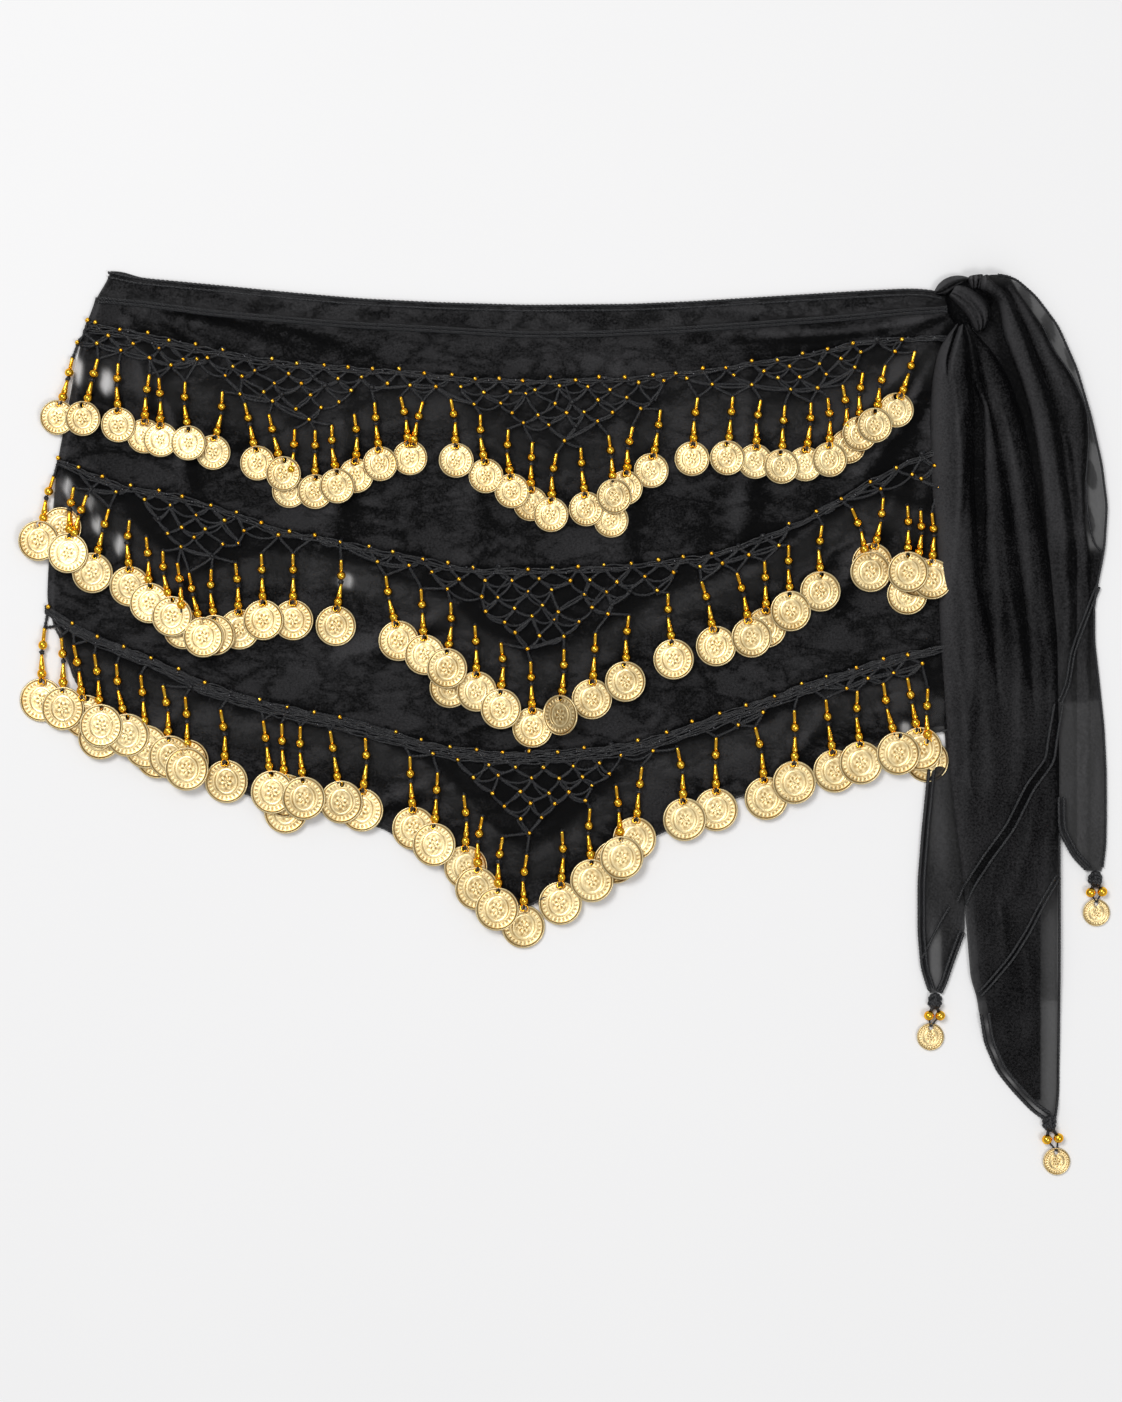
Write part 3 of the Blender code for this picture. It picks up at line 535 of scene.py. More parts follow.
def coin_gold():
    """Pale stamped gold: rings, a band of dashes, an oval and a rosette, from the coin's own map."""
    finish = Finish("coin_gold", Metallic=1.0)
    parts = finish.node("ShaderNodeSeparateXYZ")
    flat_map = finish.node("ShaderNodeUVMap", uv_map="places")
    finish.join(flat_map.outputs["UV"], parts.inputs[0])
    across = finish.math("SUBTRACT", parts.outputs["X"], 0.5)
    up = finish.math("SUBTRACT", parts.outputs["Y"], 0.5)
    radius = finish.math("MULTIPLY", 2.0, finish.math("SQRT", finish.math(
        "ADD", finish.math("MULTIPLY", across, across), finish.math("MULTIPLY", up, up))))
    turn = finish.math("ARCTAN2", up, across)

    def ring(place, width, value=radius):
        gap = finish.math("ABSOLUTE", finish.math("SUBTRACT", value, place))
        return finish.math("SUBTRACT", 1.0, finish.math("SMOOTH_MIN", 1.0, finish.math(
            "DIVIDE", gap, width), 0.2))

    where = finish.places()
    grain = finish.noise(where, 1500.0, 3.0, 0.7)
    patch = finish.noise(where, 160.0, 2.0)
    broad = finish.noise(where, 40.0, 1.0)
    dashes = finish.math("SINE", finish.math("MULTIPLY_ADD", grain, 4.0,
                                             finish.math("MULTIPLY", turn, 26.0)))
    band = finish.math("MULTIPLY", ring(0.755, 0.10), dashes)
    wide = finish.math("MULTIPLY", across, 4.4)
    tall = finish.math("MULTIPLY", up, 3.7)
    oval = finish.math("SQRT", finish.math("ADD", finish.math("MULTIPLY", wide, wide),
                                           finish.math("MULTIPLY", tall, tall)))
    spin = finish.math("ARCTAN2", tall, wide)
    lobes = finish.math("SINE", finish.math("MULTIPLY_ADD", patch, 5.0,
                                            finish.math("MULTIPLY", spin, 6.0)))
    rounds = finish.math("SINE", finish.math("MULTIPLY_ADD", grain, 2.0,
                                             finish.math("MULTIPLY", oval, 9.5)))
    rosette = finish.math("MULTIPLY", ring(0.42, 0.5, oval), finish.math("MULTIPLY", lobes, rounds))
    marks = ((ring(0.955, 0.04), 0.45), (ring(0.885, 0.035), -0.50), (ring(0.60, 0.03), 0.30),
             (ring(1.0, 0.09, oval), 0.50), (ring(1.16, 0.08, oval), -0.35), (band, 0.42),
             (rosette, 0.60))
    height = finish.math("MULTIPLY", grain, 0.34)
    for part, weight in marks:
        height = finish.math("MULTIPLY_ADD", part, weight, height)
    # the colour follows the relief: raised marks painted lighter and grooves beside them darker,
    # painted light and shade; patch and broad add random tone
    tone = finish.math("MULTIPLY_ADD", patch, 0.4, finish.math("MULTIPLY_ADD", broad, 0.5, height))
    finish.join(finish.ramp(tone, 0.16, 0.92, (0.40, 0.22, 0.05), (0.98, 0.80, 0.44)),
                finish.shader.inputs["Base Color"])
    rough = finish.math("MULTIPLY_ADD", grain, 0.18, 0.30)
    finish.join(rough, finish.shader.inputs["Roughness"])
    finish.join(finish.bump(height, 0.00022, 0.9), finish.shader.inputs["Normal"])
    return finish.material


CHIFFON = chiffon("black_chiffon", 0.36, 0.0, 0.27)
CHIFFON_TAIL = chiffon("tail_chiffon", 0.36, math.radians(32))
CORD = black_cord()
SEED_BLACK = seed_black()
BEAD_GOLD = bead_gold()
COIN_GOLD = coin_gold()


# --- the two halves of the scarf ----------------------------------------------
def panel_places(waist, hem, rows, columns):
    """Across and up for a grid that fits between the side fold, the waist, the hem and the knot."""
    u = np.linspace(0, 1, columns)[None, :]
    v = np.linspace(0, 1, rows)[:, None]
    top_left = float(side_fold(228.0))
    low_left = float(side_fold(54.0))
    top_x = mix(top_left, PANEL_RIGHT, u)
    low_x = mix(low_left, PANEL_RIGHT, u)
    side_up = mix(float(waist(top_left)), float(hem(low_left)), v)
    bulge = side_fold(side_up) - mix(top_left, low_left, v)
    across = mix(top_x, low_x, v) + bulge * (1 - u) ** 2
    up = mix(waist(top_x), hem(low_x), v)
    return across, up


# places where the cloth is worn thin: across, up, half width, half height
THIN_PLACES = [(-246.8, 184, 4.5, 8.5), (-268, 128, 3.5, 6), (-266, 113, 4, 8), (-252, 107, 3, 6),
               (-240, 96, 3.5, 7), (-262, 190, 3, 9), (-118, 77, 5, 5), (184, -3, 4, 5),
               (-273, 46, 2.5, 6), (-256, 120, 3, 5)]


# lighter and darker patches of the cloth: across, up, half width, half height, change
TONE_PATCHES = [(20, 198, 60, 9, 0.20), (-170, 212, 40, 7, 0.06), (120, 208, 40, 8, -0.06),
                (-185, 150, 30, 14, -0.10), (-60, 150, 40, 12, 0.06), (75, 150, 30, 14, 0.14),
                (-115, 78, 18, 14, 0.10), (35, 92, 30, 8, 0.12), (110, 100, 40, 14, -0.22),
                (-110, 35, 40, 16, 0.16), (-40, 45, 40, 14, 0.06), (125, 40, 30, 14, 0.10),
                (185, 20, 16, 20, 0.12), (190, 120, 16, 30, -0.16), (-245, 150, 20, 30, -0.06),
                (-215, 70, 24, 14, 0.04), (60, 40, 30, 10, -0.10), (-200, -5, 30, 14, 0.10),
                (-10, 130, 26, 14, -0.08), (195, 190, 18, 24, -0.10)]


def away_from(across, up, x, y, half_width, half_height):
    """Squared distance from a place, 1 on the ellipse of its half sizes."""
    return ((across - x) / half_width) ** 2 + ((up - y) / half_height) ** 2


def tone_patches(across, up):
    total = np.zeros(np.broadcast(across, up).shape)
    for *patch, change in TONE_PATCHES:
        total += change * np.exp(-away_from(across, up, *patch))
    return total


def below_header(across, up, header, drop):
    """1 in the net and the strands' reach below a header, 0 elsewhere."""
    down = header(across) - up
    return ease(down, 1.0, 5.0) * ease(down, drop(across) + 24.0, drop(across) + 12.0)


def behind_net(across, up, header, drop):
    """1 behind the net below a header, 0 elsewhere."""
    down = header(across) - up
    return ease(down, -3.0, 0.5) * ease(down, drop(across) + 3.0, drop(across) - 5.0)


def see_through(across, up, layers):
    """Layers of cloth, fewer where it is worn thin."""
    for patch in THIN_PLACES:
        layers = layers * (1 - 0.9 * np.exp(-away_from(across, up, *patch) ** 3))
    return layers


def build_front():
    rows, columns = 215, 345
    across, up = panel_places(front_waist, lower_hem, rows, columns)
    z = front_height(across, up)
    z = np.maximum(z, FRONT_Z - 1.2)
    from_fold = np.maximum(across - side_fold(up), 0.0)
    roll = np.sqrt(np.clip(1 - (1 - from_fold / 1.5) ** 2, 0.0, 1.0))
    z = np.where(from_fold < 1.5, mix((BACK_Z + FRONT_Z) / 2, z, roll), z)
    points = np.stack([across, up, z], axis=-1).reshape(-1, 3)
    item = mesh_object("front_chiffon", points, [grid_faces(rows, columns)], CHIFFON)
    rows_of_net = ((header_1, drop_1, 0.16), (header_2, drop_2, 0.34), (header_3, drop_3, 0.34))
    sheer = sum(below_header(across, up, header, drop) for header, drop, _ in rows_of_net)
    # painted shade behind each net: the cloth there is drawn darker and given more layers
    shade = sum(share * behind_net(across, up, header, drop) for header, drop, share in rows_of_net)
    layers = 1.9 - 1.05 * np.clip(sheer, 0.0, 1.0) + 2.4 * shade
    paint_layers(item, see_through(across, up, layers))
    paint_light_and_shade(item, across, up, z, 2.9, tone_patches(across, up) - shade - 0.03)
    ride_piece(item, ["front_panel", "side_fold"])


def back_hem(across):
    return lower_hem(across) + 3


def build_back():
    rows, columns = 110, 175
    across, up = panel_places(back_waist, back_hem, rows, columns)
    corner = ease(up, 226.0, 246.0) * ease(across, -215.0, -262.0)
    across = across + 8.5 * corner
    z = BACK_Z + np.clip(BACK_CREASES.rise(across, up), -0.7, 0.9)
    points = np.stack([across, up, z], axis=-1).reshape(-1, 3)
    item = mesh_object("back_chiffon", points, [grid_faces(rows, columns)], CHIFFON)
    strip = ease(up, front_waist(across) - 2, front_waist(across) + 2)
    wedges = np.sin(across / 21.0 + 0.5) * np.sin(across / 8.3 + up / 5.0) > 0.25
    paint_layers(item, see_through(across, up, 1.1 + strip * (1.3 + 0.8 * wedges)))
    paint_light_and_shade(item, across, up, z, 2.2, tone_patches(across, up))
    ride_piece(item, ["back_panel"])


# --- hems and header tapes ----------------------------------------------------
def plied_cord(pile, across, up, z, radius, twist, pitch, strands=2, sides=5):
    """Strands twisted about a line given by its places."""
    run = np.concatenate([[0.0], np.cumsum(np.hypot(np.diff(across), np.diff(up)))])
    heading = np.arctan2(np.gradient(up), np.gradient(across))
    for strand in range(strands):
        phase = 2 * math.pi * (run / pitch + strand / strands)
        side = twist * np.cos(phase)
        path = np.stack([across - np.sin(heading) * side, up + np.cos(heading) * side,
                         z + twist * 0.5 * (1 + np.sin(phase))], axis=-1)
        pile.add(*tube(path, radius, sides))


def hem_cord(name, line, ends, height, radius, twist, pitch, replaced, offsets=(0.0,)):
    """Corded hem along a line of the scarf."""
    pile = Pile()
    across = np.arange(ends[0], ends[1], 1.1)
    for offset in offsets:
        up = line(across) + offset
        plied_cord(pile, across, up, height(across, up), radius, twist, pitch)
    ride_piece(pile.object(name, CORD), replaced)


def level_at(value):
    """Callable height or tone that is the same everywhere."""
    return lambda across, up: value + 0 * across


def build_hems():
    hem_cord("front_waist_edge", front_waist, (-251, 207), front_height, 0.55, 0.75, 3.6,
             ["front_waist_hem"], offsets=(-0.6, -2.4))
    hem_cord("back_waist_edge", back_waist, (-246, 205), level_at(BACK_Z + 0.2), 0.5, 0.35, 5.0,
             ["back_waist_hem"], offsets=(-0.4, -3.0))
    hem_cord("lower_edge", lower_hem, (-274, 208), level_at(FRONT_Z), 0.55, 0.3, 4.0,
             ["lower_hem"], offsets=(0.6,))


build_front()
build_back()
build_hems()


# --- header tapes -------------------------------------------------------------
def tape_cords(pile, random, line, ends, width, cords, radius):
    """Wavy cords side by side below a line; width and cords give the tape's size along it."""
    across = np.arange(ends[0], ends[1], 1.2)
    wide = np.interp(across, [place for place, _ in width], [value for _, value in width])
    for cord in range(cords):
        share = (cord + 0.5) / cords
        phase = random.uniform(0, 2 * math.pi, 3)
        wave = (0.28 * np.sin(across / 3.1 + phase[0]) + 0.32 * np.sin(across / 7.3 + phase[1])
                + 0.22 * np.sin(across / 1.7 + phase[2]))
        up = line(across) - share * wide + wave
        lift = 0.5 + 0.45 * (1 + np.sin(across / 2.6 + phase[1]))
        path = np.stack([across, up, front_height(across, up) + lift], axis=-1)
        pile.add(*tube(path, radius * (1 + 0.15 * np.sin(across / 0.9 + phase[0])), 5))


def seed_beads(random, line, ends, width, gap, radius):
    """Small round beads scattered along a tape."""
    pile = Pile()
    profile = ball_profile(-radius, 2 * radius, radius, 6, 0.2)
    place = ends[0] + gap / 2
    while place < ends[1]:
        wide = float(np.interp(place, [row[0] for row in width], [row[1] for row in width]))
        up = float(line(place)) - random.uniform(0.0, 1.0) * wide
        points, faces = lathe(profile, 8)
        height = float(front_height(place, up)) + 1.3
        pile.add(turned(points, random.uniform(0, math.pi), (place, up, height)), faces)
        place += gap * random.uniform(0.5, 1.5)
    return pile


def build_header(number, line, ends, width, cords, radius):
    random = np.random.default_rng(SEED + number)
    pile = Pile()
    tape_cords(pile, random, line, ends, width, cords, radius)
    ride_piece(pile.object(f"header_tape_{number}", CORD), [f"header_{number}"])
    beads = seed_beads(random, line, ends, width, 11.0, 0.85)
    ride_piece(beads.object(f"header_seeds_{number}", SEED_BLACK))


# --- nets ---------------------------------------------------------------------
def net_knots(random, header, drop, ends, pitch, level, jitter):
    """Knots of a net in offset rows below its header, kept above the tops of the strands."""
    knots = {}
    for row in range(9):
        for column in range(int((ends[1] - ends[0]) / pitch) + 2):
            place = ends[0] + (column + 0.5 * (row % 2)) * pitch
            below = row * level
            if place > ends[1] or (row > 0 and below > float(drop(place)) - 5.0):
                continue
            sway = random.normal(0.0, jitter, 2) * (1.0 if row else 0.4)
            high = float(header(place)) - below + sway[1]
            knots[row, column] = (max(place + sway[0], float(side_fold(high)) - 2.5 * row), high)
    return knots


def net_links(knots):
    """Pairs of knots that a cord joins, each with the two nearest in the row below."""
    links = []
    for row, column in knots:
        for step in (-1, 0) if row % 2 == 0 else (0, 1):
            lower = (row + 1, column + step)
            if lower in knots:
                links.append(((row, column), lower))
    return links


def cord_between(pile, start, end, bend=0.0, sag=0.0, radius=0.4):
    """Two-ply cord from one place to another, S-curved by bend and hung by sag."""
    steps = int(gap_between(start, end) / 1.2) + 2
    share = np.linspace(0, 1, max(5, steps))
    eased = share * share * (3 - 2 * share)
    x = mix(start[0], end[0], mix(share, eased, bend))
    y = mix(start[1], end[1], share) - sag * 4 * share * (1 - share)
    plied_cord(pile, x, y, front_height(x, y) + 0.5, radius, 0.42, 3.6, sides=4)


def lump(pile, random, place, radius, lift=0.0):
    """Small uneven knot of cord."""
    points, faces = lathe(ball_profile(-radius, 2 * radius, radius, 5, 0.15), 7)
    points *= 1 + 0.22 * random.normal(0, 1, (len(points), 1)).clip(-1, 1)
    height = float(front_height(*place)) + radius * 0.9 + lift
    pile.add(turned(points, random.uniform(0, math.pi), (*place, height)), faces)


def knot_bead(pile, place, radius):
    """Gold bead that sits on a knot of the net."""
    points, faces = lathe(ball_profile(-radius, 2 * radius, radius, 6, 0.25), 9)
    height = float(front_height(*place)) + 1.9
    pile.add(turned(points, place[0] * 0.7, (*place, height)), faces)


def build_net(number, header, drop, strands, pitch, level):
    """Net of one fringe, with the legs that its strands hang by and slack loops along its edge."""
    random = np.random.default_rng(SEED + 20 + number)
    ends = (strands[0][0] - 1, strands[-1][0] + 3)
    cords = Pile()
    beads = Pile()
    knots = net_knots(random, header, drop, ends, pitch, level, 1.5)
    links = net_links(knots)
    for upper, lower in links:
        cord_between(cords, knots[upper], knots[lower], random.uniform(0.3, 1.1),
                     random.uniform(0.2, 1.6), 0.6)
        if random.uniform() < 0.7:
            near = [knots[key] + random.normal(0, 0.9, 2) for key in (upper, lower)]
            cord_between(cords, *near, bend=0.3, sag=random.uniform(-0.6, 2.4), radius=0.42)
    for row, column in knots:
        beside = (row, column + 1)
        if beside in knots and random.uniform() < 0.5:
            cord_between(cords, knots[row, column], knots[beside], 0.2,
                         random.uniform(0.35, 0.6) * level, 0.45)
    parents = {upper for upper, _ in links}
    for key, place in knots.items():
        lump(cords, random, place, random.uniform(1.1, 1.6))
        if random.uniform() < 0.9:
            knot_bead(beads, place, random.uniform(1.05, 1.3))
    edge = sorted(knots[key] for key in knots if key not in parents)
    tops = [(place, float(header(place) - drop(place))) for place, _ in strands]
    for top in tops:
        near = sorted(edge, key=lambda knot: math.hypot(knot[0] - top[0], knot[1] - top[1] - 4))
        for knot in near[:2]:
            if gap_between(knot, top) < 1.1 * pitch:
                cord_between(cords, knot, top, bend=0.5, sag=random.uniform(-0.4, 0.8), radius=0.58)
        lump(cords, random, top, 1.2)
    for left, right in zip(edge, edge[1:]):
        if gap_between(left, right) < 1.7 * pitch:
            cord_between(cords, left, right, 0.3, random.uniform(0.8, 2.4), 0.62)
            cord_between(cords, left, right, 0.1, random.uniform(-0.6, 1.0), 0.5)
    ride_piece(cords.object(f"net_cords_{number}", CORD), [f"net_{number}"])
    ride_piece(beads.object(f"net_beads_{number}", BEAD_GOLD))


# --- strands and coins --------------------------------------------------------
BUGLE_UPPER = [(0.0, 0.6), (0.15, 0.92), (1.0, 1.0), (5.5, 1.0), (6.3, 0.95), (6.5, 0.7)]
BUGLE_LOWER = [(0.0, 0.6), (0.2, 0.85), (1.8, 1.0), (4.6, 1.4), (6.9, 1.75), (7.3, 1.4)]
BEAD_UPPER = ball_profile(6.3, 4.5, 2.45)
BEAD_LOWER = ball_profile(7.1, 4.6, 2.55)
EAR_RADIUS = 1.25
EAR_WIRE = 0.4
HOLE_IN = 2.3        # from a coin's rim to its hole
MIDDLE = 0.485       # share of a strand above its middle knot
SHARED = 4.5         # strands whose coins come nearer than this share one
NARROW_ROLL = 0.55   # lean of the coins seen nearly edge on


def put(pile, profile, sides, heading, place, stretch=1.0):
    """Adds a turned shape that hangs from a place."""
    rows = [(down * stretch, radius) for down, radius in profile]
    points, faces = lathe(rows, sides)
    pile.add(turned(points, heading, place), faces)


def wire_ears(pile, heading, place):
    """Two small wire loops side by side that join a strand to its coin."""
    turns = np.linspace(0, 2 * math.pi, 13)
    for side in (-1, 1):
        ring = np.stack([side * 0.9 + EAR_RADIUS * np.cos(turns) * 0.8,
                         -1.0 + 1.35 * EAR_RADIUS * np.sin(turns), 0.4 * side * np.sin(turns)],
                        axis=-1)
        points, faces = tube(ring, EAR_WIRE, 5)
        pile.add(turned(points, heading, place), faces)


def coin_rings(radius, hole_up):
    """Places on a coin: rings that change from the hole's outline to the rim's circle."""
    turns = np.arange(48) * 2 * math.pi / 48
    hole = np.stack([1.1 * np.cos(turns), hole_up + 1.5 * np.sin(turns)], axis=-1)
    inner = (radius - 0.75) * np.stack([np.cos(turns), np.sin(turns)], axis=-1)
    rings = [mix(hole, inner, share) for share in np.linspace(0, 1, 8) ** 1.2]
    for edge in (radius - 0.6, radius - 0.15, radius):
        rings.append(edge * np.stack([np.cos(turns), np.sin(turns)], axis=-1))
    return np.array(rings)


def add_coin(pile, random, radius, place, heading, tip, roll):
    """One stamped coin; tip and roll lean it about the flat's two axes."""
    hole_up = radius - HOLE_IN
    rings = coin_rings(radius, hole_up)
    out = np.hypot(rings[..., 0], rings[..., 1]) / radius
    face = 0.4 + 0.05 * (1 - out ** 2)
    face[-3:-1] += 0.28
    face[-1] = 0.05
    face[0] = 0.0
    bent = 0.12 * np.sin(rings[..., 0] / radius * 2 + random.uniform(0, 6))
    front = np.concatenate([rings, (face + bent)[..., None]], axis=-1)
    back_rings = rings[[0, 5, -2, -1]]
    back_face = np.array([0.0, -0.35, -0.4, -0.05])[:, None] + bent[[0, 5, -2, -1]]
    back = np.concatenate([back_rings, back_face[..., None]], axis=-1)
    sides = rings.shape[1]
    for sheet, flip in ((front, False), (back, True)):
        points = sheet.reshape(-1, 3)
        flat_map = np.stack([points[:, 0], points[:, 1]], axis=-1) / (2 * radius) + 0.5
        faces = grid_faces(len(sheet), sides, wrap=True)
        if flip:
            faces = faces[:, ::-1]
        x = points[:, 0] * math.cos(roll) + points[:, 2] * math.sin(roll)
        z = -points[:, 0] * math.sin(roll) + points[:, 2] * math.cos(roll)
        y = points[:, 1] * math.cos(tip) - z * math.sin(tip)
        z = points[:, 1] * math.sin(tip) + z * math.cos(tip)
        leaned = np.stack([x, y, z], axis=-1)
        pile.add(turned(leaned, heading, place), faces[:, ::-1], flat_map)


def resting_height(centre, radius):
    """Height on which a coin rests: the highest cloth below it."""
    turns = np.arange(12) * math.pi / 6
    across = np.append(centre[0] + 0.9 * radius * np.cos(turns), centre[0])
    up = np.append(centre[1] + 0.9 * radius * np.sin(turns), centre[1])
    return float(np.max(front_height(across, up)))


def stack_heights(centres, radius, random):
    """Level of each coin, so that coins which overlap lie on different levels."""
    levels = []
    for index, centre in enumerate(centres):
        taken = {levels[other] for other in range(index)
                 if gap_between(centre, centres[other]) < 2 * radius - 0.5}
        free = [level for level in range(6) if level not in taken]
        levels.append(free[0] if random.uniform() < 0.6 else free[1])
    return levels


def heading_to(start, end):
    """Turn in the flat of something that hangs from start towards end."""
    return math.atan2(end[0] - start[0], start[1] - end[1])


def add_strand(golds, cords, random, top, centre, radius, stretch):
    """Bugle, bead, knot, bugle and bead from the net down to the hole of a coin."""
    heading = heading_to(top, centre)
    hole = (centre[0] - (radius - HOLE_IN) * math.sin(heading),
            centre[1] + (radius - HOLE_IN) * math.cos(heading))
    kink = random.uniform(-1.5, 1.5)
    middle = (mix(top[0], hole[0], MIDDLE) + kink, mix(top[1], hole[1], MIDDLE))
    upper = heading_to(top, middle)
    lower = heading_to(middle, hole)
    height = float(front_height(*middle)) + 2.5
    put(golds, BUGLE_UPPER, 10, upper, (*top, height), stretch)
    put(golds, BEAD_UPPER, 14, upper, (*top, height), stretch)
    put(golds, BUGLE_LOWER, 10, lower, (*middle, height), stretch * 1.02)
    put(golds, BEAD_LOWER, 14, lower, (*middle, height), stretch * 1.02)
    knot = (middle[0] + 0.8 * math.sin(-upper), middle[1] + 0.8)
    lump(cords, random, knot, 1.5, 0.8)
    cords.add(*tube([(*top, height), (*middle, height), (*hole, height)], 0.35, 5))
    below = [mix(np.array(middle), np.array(hole), share) for share in (0.84, 0.94)]
    loop = [(*below[0], height + 0.3), (*below[1], height + 0.9),
            (hole[0] - 0.5, hole[1] - 0.4, height - 0.6)]
    cords.add(*tube(loop, 0.62, 6))
    ears = (hole[0] - 0.9 * math.sin(heading), hole[1] + 1.6 * math.cos(heading), height)
    wire_ears(golds, heading, ears)


def add_coins(pile, random, extra, centres, radius, narrow):
    """Coins in their stack: the extra ones below, and the narrow ones leaned on an edge."""
    every = list(extra) + centres
    levels = stack_heights(every, radius, random)
    for index, (centre, level) in enumerate(zip(every, levels)):
        roll = random.uniform(-0.06, 0.06)
        tip = random.uniform(-0.05, 0.05)
        heading = random.uniform(-0.12, 0.12)
        lift = 0.7 + 1.3 * level
        if any(gap_between(centre, place) < 6 for place in narrow):
            roll = -NARROW_ROLL
            lift = 0.6 + radius * math.sin(NARROW_ROLL)
        if index < len(extra):
            heading = random.uniform(-0.6, 0.6)
        place = (*centre, resting_height(centre, radius) + lift)
        add_coin(pile, random, radius, place, heading, tip, roll)


def build_fringe(number, header, drop, strands, radius, reach, extra, narrow):
    """Strands of gold bugles and beads, each with a coin; two strands may share one coin."""
    random = np.random.default_rng(SEED + 40 + number)
    golds = Pile()
    cords = Pile()
    coins = Pile()
    centres = []
    long = reach + radius - HOLE_IN
    for across, swing in strands:
        top = (across, float(header(across) - drop(across)))
        centre = (across + swing, top[1] - math.sqrt(long ** 2 - swing ** 2))
        if centres and gap_between(centre, centres[-1]) < SHARED:
            centre = centres[-1]
        else:
            centres.append(centre)
        add_strand(golds, cords, random, top, centre, radius, reach / 27.0)
    add_coins(coins, random, extra, centres, radius, narrow)
    ride_piece(golds.object(f"fringe_beads_{number}", BEAD_GOLD),
               [f"fringe_{number}"])
    ride_piece(cords.object(f"fringe_cords_{number}", CORD))
    ride_piece(coins.object(f"fringe_coins_{number}", COIN_GOLD),
               [f"fringe_{number}"])


WIDTH_1 = [(-262, 6.0), (-180, 4.0), (-60, 2.4), (211, 2.2)]
WIDTH_2 = [(-276, 4.2), (-180, 3.6), (211, 3.0)]
WIDTH_3 = [(-280, 4.0), (-200, 7.0), (90, 7.0), (211, 4.0)]
build_header(1, header_1, (-256, 208), WIDTH_1, 5, 0.6)
build_header(2, header_2, (-273, 209), WIDTH_2, 4, 0.55)
build_header(3, header_3, (-280, 209), WIDTH_3, 9, 0.55)
build_net(1, header_1, drop_1, STRANDS_1, 13.6, 6.2)
build_net(2, header_2, drop_2, STRANDS_2, 14.2, 7.0)
build_net(3, header_3, drop_3, STRANDS_3, 14.6, 7.4)
build_fringe(1, header_1, drop_1, STRANDS_1, 9.5, 26.0, [(25.4, 109.4)], [(166.3, 167.1)])
build_fringe(2, header_2, drop_2, STRANDS_2, 11.0, 27.0,
             [(-271, 105.6), (-61.6, 19.2), (185, 69.4)], [(-255.4, 88.8), (-1.6, 6.2)])
build_fringe(3, header_3, drop_3, STRANDS_3, 11.75, 29.5,
             [(-250, -7.8), (-219, -18), (-203, -20.3), (-150, -47.8), (27.5, -74.8)],
             [(-140.4, -46.7)])


# --- tails --------------------------------------------------------------------
# front tail: each row is (up, left, right), then the valleys between its long folds as (up, across)
TAIL_A = [(216, 213, 217.5), (210, 207, 222.5), (201, 201.5, 231), (187, 198.5, 240),
          (164, 197.2, 248), (131, 197.5, 254.5), (88, 200.5, 262), (45, 203, 266),
          (13, 205.5, 266.5), (-20, 207.5, 267), (-52, 211, 267), (-84, 215, 267),
          (-111, 217, 267.2), (-138, 219.3, 267.2), (-147, 222.5, 267), (-157, 224, 267),
          (-172, 227.5, 267), (-187, 234, 266.8), (-198, 243, 266.5), (-209, 253.5, 266.3),
          (-214, 259.5, 264.5)]
VALLEY_0 = [(216, 213.8), (207, 210.3), (195, 206.8), (182, 206.5), (150, 206)]
VALLEY_1 = [(216, 215.2), (207, 218.4), (195, 219.4), (183, 220.4), (153, 221), (131, 220.8),
            (110, 222), (77, 224.3), (48, 231), (0, 236)]
VALLEY_2 = [(216, 216), (207, 219.9), (195, 222.6), (183, 225.3), (170, 229), (153, 233.3),
            (131, 237.7), (110, 241), (77, 246), (48, 250), (0, 254)]
HEM_A_UPPER = [(266.5, 10), (263, -10), (261.8, -20), (251, -34.3), (240.3, -56), (228, -72.6),
               (218, -88), (214.5, -97)]
HEM_A_LOWER = [(266.3, -82.5), (257.5, -97), (250, -112), (241.5, -125.5), (230, -139.5),
               (223.5, -146.5)]
HEM_A_LEFT = [(224.6, -157), (227, -172), (234, -188), (243, -199), (253, -209.5), (260, -214)]
HEM_A_RIGHT = [(267, -60), (267.2, -110), (267, -160), (266.7, -200), (264.8, -214)]
# rear left tail
TAIL_B = [(14, 205, 216), (0, 205, 216), (-14, 206, 216.5), (-30, 196.8, 216.5), (-45, 194.5, 216.5),
          (-58, 193.3, 216.5), (-85, 191.2, 216.5), (-113, 191.2, 216), (-122, 191.8, 213),
          (-132, 193, 209), (-139, 195, 206), (-146, 197.8, 202.8)]
HEM_B_LEFT = [(196.6, -25), (193.3, -58), (191.2, -85), (191.2, -113), (192.8, -132), (197, -145)]
HEM_B_RIGHT = [(216, -113), (209, -132), (206.5, -140), (203.5, -146)]
HEM_B_CROSS = [(208, -99), (202, -109), (196.5, -120), (192.5, -128)]
# right tail: inner (across, up), outer (across, up)
TAIL_C = [(221, 222, 221, 238), (222, 214, 226, 241), (222, 206, 233, 241.2),
          (224, 197, 243, 240), (228, 186, 254, 230.5), (235, 173, 266, 214.5),
          (241, 157, 276.5, 191), (246, 139, 284, 166), (250, 120, 290, 140),
          (254, 98, 293, 117), (259, 78, 291.5, 93), (260, 60, 286, 64), (260, 42, 286, 44),
          (260, 22, 288.5, 22), (260, 0, 291, -2), (261, -25, 292.3, -26),
          (263, -43, 292.5, -50), (266, -58, 292.3, -66), (274, -71.5, 291.5, -75),
          (282, -79.5, 290, -80)]
FOLD_C_LEFT = [(236, 222), (231.9, 223.6), (228.2, 233.3), (220, 234.9), (209.8, 236.5),
               (196.8, 241.4), (182.8, 246.8), (166, 251.6), (149.3, 254.9), (131.5, 257.6),
               (100, 261)]
